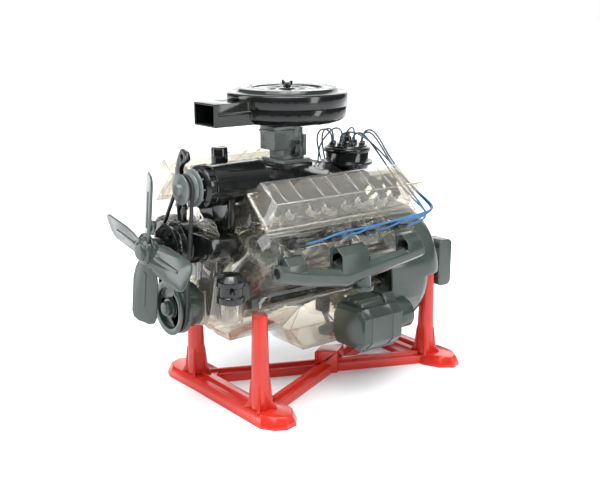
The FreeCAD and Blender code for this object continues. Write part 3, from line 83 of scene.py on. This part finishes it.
# Edges of the moulded pieces
ROUNDING = 0.3
CLEAR_ROUNDING = 0.45
SHARP_ANGLE = math.radians(32.0)  # edges sharper than this are rounded
FLAT_ANGLE = math.radians(0.8)  # faces closer to flat than this are joined
CREASE_ANGLE = math.radians(40)  # edges sharper than this stay sharp on the springs and the filter


# --- camera --------------------------------------------------------------------------------------
CAMERA_PLACE = (0.5075, -0.3875, 0.2632)
CAMERA_TURN = math.radians(52.26)  # from in front of the fan towards the engine's left
CAMERA_TILT = math.radians(14.73)  # downwards
SENSOR_WIDTH = 36.0
LENS = 56.93


def place_camera():
    camera = bpy.data.objects.new("camera", bpy.data.cameras.new("camera"))
    bpy.context.scene.collection.objects.link(camera)
    camera.location = CAMERA_PLACE
    level = math.cos(CAMERA_TILT)
    forward = Vector((-math.sin(CAMERA_TURN) * level, math.cos(CAMERA_TURN) * level, -math.sin(CAMERA_TILT)))
    camera.rotation_euler = forward.to_track_quat("-Z", "Y").to_euler()
    camera.data.sensor_width = SENSOR_WIDTH
    camera.data.lens = LENS
    camera.data.clip_start = 0.01
    bpy.context.scene.camera = camera


# --- ignition leads ------------------------------------------------------------------------------
LEAD_DIAMETER = 0.0013
LEFT_LEADS = [
    [(4.3, 47.7, 168.5), (4.4, 47.6, 172.5), (6.8, 48.4, 175.8), (12, 51.4, 177.2), (18.8, 55.4, 174.9),
     (26.3, 60.4, 168.2), (34.5, 64.8, 159.7), (44.5, 67.8, 150.6), (55.5, 70, 142.2), (66, 71.8, 135.8),
     (75.5, 69.5, 132.4), (79.8, 60.5, 131.4), (79.4, 46, 130.2), (78, 26, 128.4), (76.6, 6, 127.6),
     (75.4, -11, 127), (73, -26, 123), (73, -36.9, 123)],
    [(4.3, 68.3, 168.5), (4.4, 68.4, 172.7), (6.6, 69.6, 176.2), (11.6, 71, 176.9), (17.7, 71.9, 172),
     (25, 72.2, 163.5), (35, 72.5, 154), (46.5, 72.9, 145), (58, 73, 137.7), (69, 72.2, 132.6),
     (76.6, 66.8, 130.2), (77.9, 55.5, 129.2), (76.5, 36, 128.6), (74.9, 16, 127), (73, 3, 123),
     (73, -8.9, 123)],
    [(10.3, 53.7, 168.5), (10.4, 53.8, 172.7), (13, 54.6, 176), (17.6, 56.6, 176.6), (22.6, 60.4, 169.5),
     (28.8, 64.4, 160), (36.5, 66.6, 150.5), (46.5, 67.8, 141.8), (57, 68.6, 134.8), (67.2, 68.5, 129.9),
     (74.6, 64.6, 127.6), (75.6, 55, 127.2), (74.7, 42, 126.7), (73, 29.5, 123), (73, 19.1, 123)],
    [(10.3, 62.3, 168.5), (10.4, 62.3, 172.7), (13, 63, 176), (18, 64.4, 176.2), (23.8, 66.2, 170),
     (30.6, 67.8, 161), (39, 69.4, 151.4), (48.4, 70.6, 142.2), (57.6, 71, 134.9), (66.3, 70.2, 129),
     (72, 66, 125), (73, 56.2, 123), (73, 47.1, 123)],
]
RIGHT_LEADS = [
    [(-4.3, 47.7, 168.5), (-4.4, 47.6, 172.5), (-6.9, 47.4, 175.8), (-12.5, 47.2, 177), (-19, 47.8, 175),
     (-24, 49.5, 169.2), (-26.5, 53, 161), (-30.5, 58.5, 153), (-37.8, 65.5, 148.6), (-47, 71.2, 145.4),
     (-57.5, 74.6, 140.6), (-69, 75.4, 135.8), (-78.6, 71.4, 132.4), (-80.8, 61, 131.6), (-79.8, 44, 130.4),
     (-78.5, 24, 128.8), (-77, 4, 127.8), (-75.4, -9.5, 126.8), (-73, -21, 123), (-73, -31.1, 123)],
    [(-4.3, 68.3, 168.5), (-4.4, 68.4, 172.7), (-6.7, 69.7, 176.1), (-11.6, 71.2, 176.5),
     (-18.3, 72.2, 171.3), (-26.5, 72.5, 162.7), (-36.5, 72.8, 153), (-47.5, 73.2, 144.2),
     (-58.5, 73.4, 137), (-69.2, 72.4, 132.4), (-77.2, 67, 130.4), (-78.6, 55.5, 129.9),
     (-77.3, 37, 128.8), (-75.6, 19, 127.4), (-73, 7, 123), (-73, -3.1, 123)],
    [(-10.3, 53.7, 168.5), (-10.4, 53.8, 172.6), (-13, 54.2, 175.9), (-19, 55, 176.2), (-25.5, 56.5, 173.2),
     (-28.6, 58, 167), (-29.4, 60, 159), (-31.5, 63.5, 151), (-37.5, 67.5, 143.5), (-47, 70.2, 137.7),
     (-58, 71.4, 133.2), (-68.8, 70.8, 129.4), (-75.4, 65.4, 127.8), (-76.3, 54, 127.4), (-75, 43, 126.6),
     (-73, 33.5, 123), (-73, 24.9, 123)],
    [(-10.3, 62.3, 168.5), (-10.4, 62.3, 172.7), (-13.2, 62, 175.9), (-18.8, 61.4, 176), (-26.5, 61, 170.2),
     (-34, 61.4, 163), (-38.6, 63, 155.3), (-42.5, 65.8, 147.5), (-49.5, 67.8, 140.5), (-58.5, 68.6, 134.3),
     (-66.5, 68.2, 128.8), (-72, 66, 124.8), (-73, 59.6, 123), (-73, 52.9, 123)],
]
LEFT_LENGTHS = (0.2039, 0.1718, 0.1379, 0.1081)
RIGHT_LENGTHS = (0.2079, 0.1666, 0.1395, 0.1024)


def in_row(point):
    """A point in the engine's millimetres, as a place in the model's frame in metres."""
    x, y, z = point
    return Vector((x, y + ROW_Y, z)) * MM


def lead(name, route, node, material):
    """One lead from its tower to its plug boot, as a smooth line with the route's points as its controls."""
    curve = bpy.data.curves.new(name, "CURVE")
    curve.dimensions = "3D"
    curve.bevel_depth = LEAD_DIAMETER / 2
    curve.bevel_resolution = 4
    curve.use_fill_caps = True
    spline = curve.splines.new("NURBS")
    spline.points.add(len(route) - 1)
    for control, point in zip(spline.points, route):
        control.co = (*in_row(point), 1.0)
    spline.order_u = 3
    spline.use_endpoint_u = True
    spline.resolution_u = 10
    curve.materials.append(material)
    obj = bpy.data.objects.new(name, curve)
    bpy.context.scene.collection.objects.link(obj)
    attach(obj, "engine")
    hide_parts(node)


# --- materials -----------------------------------------------------------------------------------
def new_material(name):
    material = bpy.data.materials.new(name)
    material.use_nodes = True
    tree = material.node_tree
    return material, tree, tree.nodes["Principled BSDF"]


def scaled(colour, factor):
    return tuple(part * factor for part in colour)


def noise(tree, scale, detail=3.0):
    """A noise texture in the object's own coordinates, in metres. Returns its grey output."""
    place = tree.nodes.new("ShaderNodeTexCoord")
    texture = tree.nodes.new("ShaderNodeTexNoise")
    texture.inputs["Scale"].default_value = scale
    texture.inputs["Detail"].default_value = detail
    tree.links.new(place.outputs["Object"], texture.inputs["Vector"])
    return texture.outputs["Fac"]


def ranged(tree, source, low, high):
    """Spreads a grey value that runs from about 0.3 to 0.7 over low to high."""
    span = tree.nodes.new("ShaderNodeMapRange")
    span.inputs["From Min"].default_value = 0.3
    span.inputs["From Max"].default_value = 0.7
    span.inputs["To Min"].default_value = low
    span.inputs["To Max"].default_value = high
    tree.links.new(source, span.inputs["Value"])
    return span.outputs["Result"]


def two_tone(tree, source, dark, light):
    ramp = tree.nodes.new("ShaderNodeValToRGB")
    ramp.color_ramp.elements[0].position = 0.3
    ramp.color_ramp.elements[1].position = 0.7
    ramp.color_ramp.elements[0].color = (*dark, 1)
    ramp.color_ramp.elements[1].color = (*light, 1)
    tree.links.new(source, ramp.inputs["Fac"])
    return ramp.outputs["Color"]


def bump(tree, shader, height, strength, distance):
    node = tree.nodes.new("ShaderNodeBump")
    node.inputs["Strength"].default_value = strength
    node.inputs["Distance"].default_value = distance
    tree.links.new(height, node.inputs["Height"])
    tree.links.new(node.outputs["Normal"], shader.inputs["Normal"])


def mixed_colour(tree, share, first, second):
    """Goes from the first colour to the second as share goes from 0 to 1."""
    mix = tree.nodes.new("ShaderNodeMix")
    mix.data_type = "RGBA"
    tree.links.new(share, mix.inputs["Factor"])
    tree.links.new(first, mix.inputs[6])
    tree.links.new(second, mix.inputs[7])
    return mix.outputs[2]


def mixed_shader(tree, first, second):
    """Mixes two shaders. Returns the node, whose Fac input is the second one's share."""
    mix = tree.nodes.new("ShaderNodeMixShader")
    tree.links.new(first, mix.inputs[1])
    tree.links.new(second, mix.inputs[2])
    return mix


def moulded(name, dark, light, rough, grain=0.25, ripple=90.0):
    """Injection-moulded plastic: faint colour drift, flow ripples in the gloss and a fine grain."""
    material, tree, shader = new_material(name)
    drift = noise(tree, scale=45.0, detail=4.0)
    tree.links.new(two_tone(tree, drift, dark, light), shader.inputs["Base Color"])
    flow = noise(tree, scale=ripple, detail=5.0)
    tree.links.new(ranged(tree, flow, rough * 0.75, rough * 1.3), shader.inputs["Roughness"])
    bump(tree, shader, noise(tree, scale=ripple * 3.0, detail=2.0), grain, 0.00008)
    return material


def see_through(tree, deep, pale):
    """Passes light straight on, tinted pale face on and deep at a slant."""
    slant = tree.nodes.new("ShaderNodeLayerWeight")
    slant.inputs["Blend"].default_value = 0.3
    face_on = two_tone(tree, noise(tree, 35.0), scaled(pale, 0.985), pale)
    edge_on = two_tone(tree, noise(tree, 25.0), deep, scaled(deep, 1.05))
    node = tree.nodes.new("ShaderNodeBsdfTransparent")
    tree.links.new(mixed_colour(tree, slant.outputs["Facing"], face_on, edge_on), node.inputs["Color"])
    return node.outputs["BSDF"]


def milky(tree):
    """The faint cloudiness inside clear polystyrene."""
    node = tree.nodes.new("ShaderNodeBsdfDiffuse")
    tones = two_tone(tree, noise(tree, 60.0), (0.72, 0.69, 0.60), (0.82, 0.80, 0.72))
    tree.links.new(tones, node.inputs["Color"])
    return node.outputs["BSDF"]


def shiny(tree):
    """The reflections on a smooth moulded face."""
    node = tree.nodes.new("ShaderNodeBsdfAnisotropic")
    tones = two_tone(tree, noise(tree, 20.0), (0.95, 0.96, 0.97), (1.0, 1.0, 1.0))
    tree.links.new(tones, node.inputs["Color"])
    tree.links.new(ranged(tree, noise(tree, 70.0), 0.03, 0.09), node.inputs["Roughness"])
    return node.outputs["BSDF"]


def shine_share(tree, gloss):
    """How much of the light a clear face reflects: little face on, most of it at a steep slant."""
    edge_on = tree.nodes.new("ShaderNodeLayerWeight")
    edge_on.inputs["Blend"].default_value = 0.5
    steep = tree.nodes.new("ShaderNodeMath")
    steep.operation = "POWER"
    steep.inputs[1].default_value = 4.0
    tree.links.new(edge_on.outputs["Facing"], steep.inputs[0])
    share = tree.nodes.new("ShaderNodeMapRange")
    share.inputs["To Min"].default_value = 0.045 * gloss
    share.inputs["To Max"].default_value = min(1.0, 0.8 * gloss)
    tree.links.new(steep.outputs["Value"], share.inputs["Value"])
    return share.outputs["Result"]


def clear(name, deep, pale, body=0.05, gloss=1.0):
    """Clear polystyrene without refraction: see-through face on, deeper and glossier at a slant.

    Lamps shine through it, so that what it holds is lit. body is the milky share.
    """
    material, tree, shader = new_material(name)
    tree.nodes.remove(shader)
    filled = mixed_shader(tree, see_through(tree, deep, pale), milky(tree))
    filled.inputs["Fac"].default_value = body
    glossed = mixed_shader(tree, filled.outputs["Shader"], shiny(tree))
    tree.links.new(shine_share(tree, gloss), glossed.inputs["Fac"])
    lamp_light = tree.nodes.new("ShaderNodeBsdfTransparent")
    lamp_light.inputs["Color"].default_value = (0.97, 0.97, 0.96, 1)
    path = tree.nodes.new("ShaderNodeLightPath")
    lit = mixed_shader(tree, glossed.outputs["Shader"], lamp_light.outputs["BSDF"])
    tree.links.new(path.outputs["Is Shadow Ray"], lit.inputs["Fac"])
    tree.links.new(lit.outputs["Shader"], tree.nodes["Material Output"].inputs["Surface"])
    return material


def metal(name, dark, light, rough):
    material, tree, shader = new_material(name)
    shader.inputs["Metallic"].default_value = 1.0
    tree.links.new(two_tone(tree, noise(tree, 200.0), dark, light), shader.inputs["Base Color"])
    tree.links.new(ranged(tree, noise(tree, 500.0), rough * 0.7, rough * 1.4), shader.inputs["Roughness"])
    return material


def vinyl(name, painted_shade_tone, bright):
    """Thin sleeve, with painted shade: dark up at the distributor and bright down at the plugs."""
    material, tree, shader = new_material(name)
    place = tree.nodes.new("ShaderNodeTexCoord")
    height = tree.nodes.new("ShaderNodeSeparateXYZ")
    tree.links.new(place.outputs["Object"], height.inputs["Vector"])
    # painted shade: the colour goes from the lead's own bright blue at 130 mm to the shaded tone at 150 mm
    span = tree.nodes.new("ShaderNodeMapRange")
    span.inputs["From Min"].default_value = 0.150
    span.inputs["From Max"].default_value = 0.130
    tree.links.new(height.outputs["Z"], span.inputs["Value"])
    shaded_upper = two_tone(tree, noise(tree, 120.0), painted_shade_tone, scaled(painted_shade_tone, 1.3))
    lower = two_tone(tree, noise(tree, 160.0), scaled(bright, 0.75), bright)
    tree.links.new(mixed_colour(tree, span.outputs["Result"], shaded_upper, lower), shader.inputs["Base Color"])
    tree.links.new(ranged(tree, noise(tree, 300.0), 0.25, 0.42), shader.inputs["Roughness"])
    bump(tree, shader, noise(tree, 1500.0), 0.2, 0.00005)
    return material


# --- meshes --------------------------------------------------------------------------------------
def joined_mesh(name):
    """A copy of a CAD node's mesh with its flat faces joined."""
    mesh = nodes[name].data.copy()
    mesh.name = name + "_soft"
    work = bmesh.new()
    work.from_mesh(mesh)
    bmesh.ops.remove_doubles(work, verts=work.verts, dist=2e-6)
    bmesh.ops.dissolve_degenerate(work, edges=work.edges, dist=1e-6)
    bmesh.ops.dissolve_limit(work, angle_limit=FLAT_ANGLE, verts=work.verts, edges=work.edges)
    for face in work.faces:
        face.smooth = True
    work.to_mesh(mesh)
    work.free()
    mesh.materials.clear()
    return mesh


def softened(name, width=ROUNDING, segments=2):
    """A CAD node's shape with its hard edges rounded."""
    obj = bpy.data.objects.new(name + "_shape", joined_mesh(name))
    bpy.context.scene.collection.objects.link(obj)
    bevel = obj.modifiers.new("rounded", "BEVEL")
    bevel.width = width * MM
    bevel.segments = segments
    bevel.limit_method = "ANGLE"
    bevel.angle_limit = SHARP_ANGLE
    bevel.use_clamp_overlap = False
    bevel.loop_slide = False
    bevel.miter_outer = "MITER_SHARP"
    bevel.harden_normals = True
    return obj


def join_rings(work, ring, after):
    """Closes the band between two rings of as many points each."""
    for k in range(len(ring)):
        n = (k + 1) % len(ring)
        work.faces.new((ring[k], ring[n], after[n], after[k]))


def add_tube(work, line, radius):
    """Adds a closed round tube along a line of points to a bmesh."""
    rings = []
    for i, point in enumerate(line):
        along = (line[min(i + 1, len(line) - 1)] - line[max(i - 1, 0)]).normalized()
        across = along.cross(Vector((0, 1, 0))).normalized()
        up = along.cross(across)
        ring = []
        for k in range(WIRE_SIDES):
            turn = 2 * math.pi * k / WIRE_SIDES
            ring.append(work.verts.new(point + (across * math.cos(turn) + up * math.sin(turn)) * radius))
        rings.append(ring)
    for ring, after in zip(rings, rings[1:]):
        join_rings(work, ring, after)
    work.faces.new(list(reversed(rings[0])))
    work.faces.new(rings[-1])


def finished(name, work):
    bmesh.ops.recalc_face_normals(work, faces=work.faces)
    for face in work.faces:
        face.smooth = True
    mesh = bpy.data.meshes.new(name)
    work.to_mesh(mesh)
    work.free()
    mesh.set_sharp_from_angle(angle=CREASE_ANGLE)
    obj = bpy.data.objects.new(name, mesh)
    bpy.context.scene.collection.objects.link(obj)
    return obj


def spring_line(side, y):
    """The middle of one spring's wire, round the valve stem at y in the bank on that side."""
    low, high = SPRING_U
    line = []
    for k in range(SPRING_STEPS + 1):
        t = k / SPRING_STEPS
        turn = 2 * math.pi * SPRING_TURNS * t
        v = VALVE_V + SPRING_R * math.cos(turn)
        u = low + (high - low) * min(max((t - SPRING_FLAT) / (1 - 2 * SPRING_FLAT), 0), 1)
        x = side * (u + v) * BANK_SLANT
        z = CRANK_Z + (u - v) * BANK_SLANT
        line.append(in_row((x, y + SPRING_R * math.sin(turn), z)))
    return line


def coil_springs():
    """A wire spring with closed ends on every valve stem."""
    work = bmesh.new()
    for side in (1, -1):
        for bore in range(BORES):
            bore_y = MID_Y + (bore - (BORES - 1) / 2) * BORE_PITCH - side * ROD_PITCH / 2
            for gap in (-VALVE_GAP, VALVE_GAP):
                add_tube(work, spring_line(side, bore_y + gap), SPRING_WIRE_R * MM)
    return finished("coil_springs", work)


def cleaner_point(work, radius, turn, z):
    return work.verts.new(in_row((radius * math.cos(turn), CLEANER_Y + radius * math.sin(turn), z)))


def pleat_rings(work, z):
    """The inner and the outer zigzag of the folded paper at one height."""
    inner = FILTER_R[0] + PLEAT_INSET
    outer = FILTER_R[1] - PLEAT_INSET - PLEAT_DEPTH
    ring_in = []
    ring_out = []
    for k in range(PLEATS * 2):
        turn = math.pi * k / PLEATS
        fold = PLEAT_DEPTH * (k % 2)
        ring_in.append(cleaner_point(work, inner + fold, turn, z))
        ring_out.append(cleaner_point(work, outer + fold, turn, z))
    return ring_in, ring_out


def add_rim(work, low, high):
    """A flat ring over one end of the folds."""
    inside, outside = FILTER_R
    rings = []
    for radius, z in ((inside, low), (outside, low), (outside, high), (inside, high)):
        turns = [2 * math.pi * k / RIM_SIDES for k in range(RIM_SIDES)]
        rings.append([cleaner_point(work, radius, turn, z) for turn in turns])
    for ring, after in zip(rings, rings[1:] + rings[:1]):
        join_rings(work, ring, after)


def pleated_filter():
    """A ring of folded paper between two flat rims."""
    work = bmesh.new()
    low, high = FILTER_Z
    low_in, low_out = pleat_rings(work, low + PLEAT_END)
    high_in, high_out = pleat_rings(work, high - PLEAT_END)
    join_rings(work, low_out, high_out)
    join_rings(work, high_in, low_in)
    join_rings(work, low_in, low_out)
    join_rings(work, high_out, high_in)
    add_rim(work, low, low + RIM_HEIGHT)
    add_rim(work, high - RIM_HEIGHT, high)
    return finished("pleated_filter", work)


def dress(obj, body, node, material, rim=None):
    """Puts a shape in a node's place. rim is a second material, for its rounded edges."""
    obj.data.materials.append(material)
    if rim:
        obj.data.materials.append(rim)
        obj.modifiers["rounded"].material = 1
    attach(obj, body)
    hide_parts(node)


# --- stage ---------------------------------------------------------------------------------------
FLOOR_REACH = 12.0
SKY_LIGHT = 3.15
SKY_SPREAD = math.radians(65)
SKY_LEAN = (math.radians(18), math.radians(16), 0)
LAMPS = [  # name, place, what it points at, width and height, watts
    ("back_window", (-1.1, 1.0, 0.72), (0, 0, 0.2), (2.0, 1.0), 13.0),
    ("front_left_window", (-0.75, -1.05, 0.5), (0, 0, 0.12), (0.5, 0.9), 7.0),
    ("right_window", (1.15, 0.35, 0.55), (0, 0, 0.1), (0.35, 0.9), 6.0),
    ("top_window", (0.35, -0.25, 1.1), (0, 0, 0.12), (0.6, 0.35), 6.0),
]


def area_lamp(name, place, aim, size, watts):
    lamp = bpy.data.lights.new(name, "AREA")
    lamp.shape = "RECTANGLE"
    lamp.size, lamp.size_y = size
    lamp.energy = watts
    obj = bpy.data.objects.new(name, lamp)
    bpy.context.scene.collection.objects.link(obj)
    obj.location = place
    obj.rotation_euler = (Vector(aim) - Vector(place)).to_track_quat("-Z", "Y").to_euler()
    obj.visible_camera = False


def sky_light():
    sun = bpy.data.lights.new("sky_light", "SUN")
    sun.energy = SKY_LIGHT
    sun.angle = SKY_SPREAD
    holder = bpy.data.objects.new("sky_light", sun)
    bpy.context.scene.collection.objects.link(holder)
    holder.rotation_euler = SKY_LEAN


def lay_floor():
    corners = [(-FLOOR_REACH, -FLOOR_REACH, 0), (FLOOR_REACH, -FLOOR_REACH, 0),
               (FLOOR_REACH, FLOOR_REACH, 0), (-FLOOR_REACH, FLOOR_REACH, 0)]
    mesh = bpy.data.meshes.new("floor")
    mesh.from_pydata(corners, [], [(0, 1, 2, 3)])
    floor = bpy.data.objects.new("floor", mesh)
    bpy.context.scene.collection.objects.link(floor)
    material, tree, shader = new_material("pale_floor")
    tones = two_tone(tree, noise(tree, 8.0), (0.86, 0.87, 0.89), (0.9, 0.9, 0.91))
    tree.links.new(tones, shader.inputs["Base Color"])
    shader.inputs["Roughness"].default_value = 0.7
    mesh.materials.append(material)


def light_world():
    """White behind everything. For light and reflections, a sky that darkens towards the horizon."""
    world = bpy.data.worlds.new("studio")
    bpy.context.scene.world = world
    world.use_nodes = True
    tree = world.node_tree
    seen = tree.nodes["Background"]
    seen.inputs["Color"].default_value = (1, 1, 1, 1)
    seen.inputs["Strength"].default_value = 1.0
    lit = tree.nodes.new("ShaderNodeBackground")
    lit.inputs["Color"].default_value = (0.93, 0.96, 1.0, 1)
    direction = tree.nodes.new("ShaderNodeTexCoord")
    height = tree.nodes.new("ShaderNodeSeparateXYZ")
    tree.links.new(direction.outputs["Generated"], height.inputs["Vector"])
    sky = tree.nodes.new("ShaderNodeMapRange")
    sky.interpolation_type = "SMOOTHSTEP"
    sky.inputs["From Min"].default_value = 0.1
    sky.inputs["From Max"].default_value = 0.95
    sky.inputs["To Min"].default_value = 0.12
    sky.inputs["To Max"].default_value = 0.8
    tree.links.new(height.outputs["Z"], sky.inputs["Value"])
    tree.links.new(sky.outputs["Result"], lit.inputs["Strength"])
    path = tree.nodes.new("ShaderNodeLightPath")
    mix = mixed_shader(tree, lit.outputs["Background"], seen.outputs["Background"])
    tree.links.new(path.outputs["Is Camera Ray"], mix.inputs["Fac"])
    tree.links.new(mix.outputs["Shader"], tree.nodes["World Output"].inputs["Surface"])


def set_stage():
    lay_floor()
    light_world()
    sky_light()
    for name, place, aim, size, watts in LAMPS:
        area_lamp(name, place, aim, size, watts)


# --- the object ----------------------------------------------------------------------------------
place_camera()
# the first colour is painted shade on the leads' upper lengths, the second is their own blue
blue = vinyl("blue_vinyl", (0.022, 0.055, 0.085), (0.02, 0.13, 0.31))
for hand, routes, lengths in (("left", LEFT_LEADS, LEFT_LENGTHS), ("right", RIGHT_LEADS, RIGHT_LENGTHS)):
    for number, (route, length) in enumerate(zip(routes, lengths), start=1):
        lead(f"{hand}_lead_{number}", route, f"ignition_wires_{hand}", blue)
set_stage()

FINISHES = {
    "clear_plastic": clear("clear_plastic", (0.60, 0.565, 0.48), (0.965, 0.957, 0.93)),
    "black_plastic": moulded("black_plastic", (0.005, 0.006, 0.0055), (0.009, 0.0105, 0.010), 0.13),
    "grey_plastic": moulded("grey_plastic", (0.030, 0.041, 0.036), (0.044, 0.058, 0.050), 0.19),
    "light_grey_plastic": moulded("light_grey_plastic", (0.11, 0.13, 0.125), (0.16, 0.185, 0.175), 0.24),
    "works_plastic": moulded("works_plastic", (0.006, 0.008, 0.0075), (0.011, 0.014, 0.013), 0.2),
    "piston_plastic": moulded("piston_plastic", (0.055, 0.06, 0.056), (0.09, 0.1, 0.094), 0.3),
    "spring_steel": metal("spring_steel", (0.35, 0.35, 0.33), (0.5, 0.5, 0.48), 0.3),
    "motor_steel": metal("motor_steel", (0.45, 0.45, 0.43), (0.6, 0.6, 0.58), 0.3),
    "belt_rubber": moulded("belt_rubber", (0.006, 0.006, 0.006), (0.012, 0.012, 0.012), 0.5),
    "plug_rubber": moulded("plug_rubber", (0.006, 0.006, 0.006), (0.012, 0.012, 0.012), 0.4),
    "filter_paper": moulded("filter_paper", (0.5, 0.43, 0.28), (0.62, 0.55, 0.38), 0.8),
    "red_plastic": moulded("red_plastic", (0.46, 0.018, 0.010), (0.54, 0.025, 0.014), 0.2),
}
clear_core = clear("clear_core", (0.74, 0.70, 0.61), (0.985, 0.98, 0.962), body=0.012, gloss=0.9)
# painted edge lines: the clear parts' rounded edges get a darker, milkier tint in place of the dark and
# cream lines that refraction in the walls' thickness draws
clear_painted_edge_lines = clear("clear_painted_edge_lines", (0.34, 0.30, 0.22), (0.66, 0.62, 0.52), body=0.22, gloss=1.8)
SCULPTED = {"valve_springs": coil_springs, "air_filter": pleated_filter}  # finer here than in the CAD
THICK_CLEAR = {"engine_block", "cylinder_head_left", "cylinder_head_right"}  # paler, so the works show
LEAD_NODES = {"ignition_wires_left", "ignition_wires_right"}
slots = {row["node"]: row["material_slot"] for row in frame["record"]["subparts"]}
bodies = {node: body for body, members in frame["record"]["behaviour"]["bodies"].items() for node in members}
for name in sorted(set(nodes) - LEAD_NODES):
    body = bodies[name]
    slot = slots[name]
    if name in SCULPTED:
        dress(SCULPTED[name](), body, name, FINISHES[slot])
    elif name in THICK_CLEAR:
        dress(softened(name, segments=1), body, name, clear_core)
    elif slot == "clear_plastic":
        # the rounded edges carry the painted edge lines
        dress(softened(name, CLEAR_ROUNDING, 1), body, name, FINISHES[slot], clear_painted_edge_lines)
    else:
        dress(softened(name), body, name, FINISHES[slot])

bpy.context.scene.view_settings.view_transform = "Standard"
bpy.context.scene.cycles.transparent_max_bounces = 40  # one ray crosses many clear walls
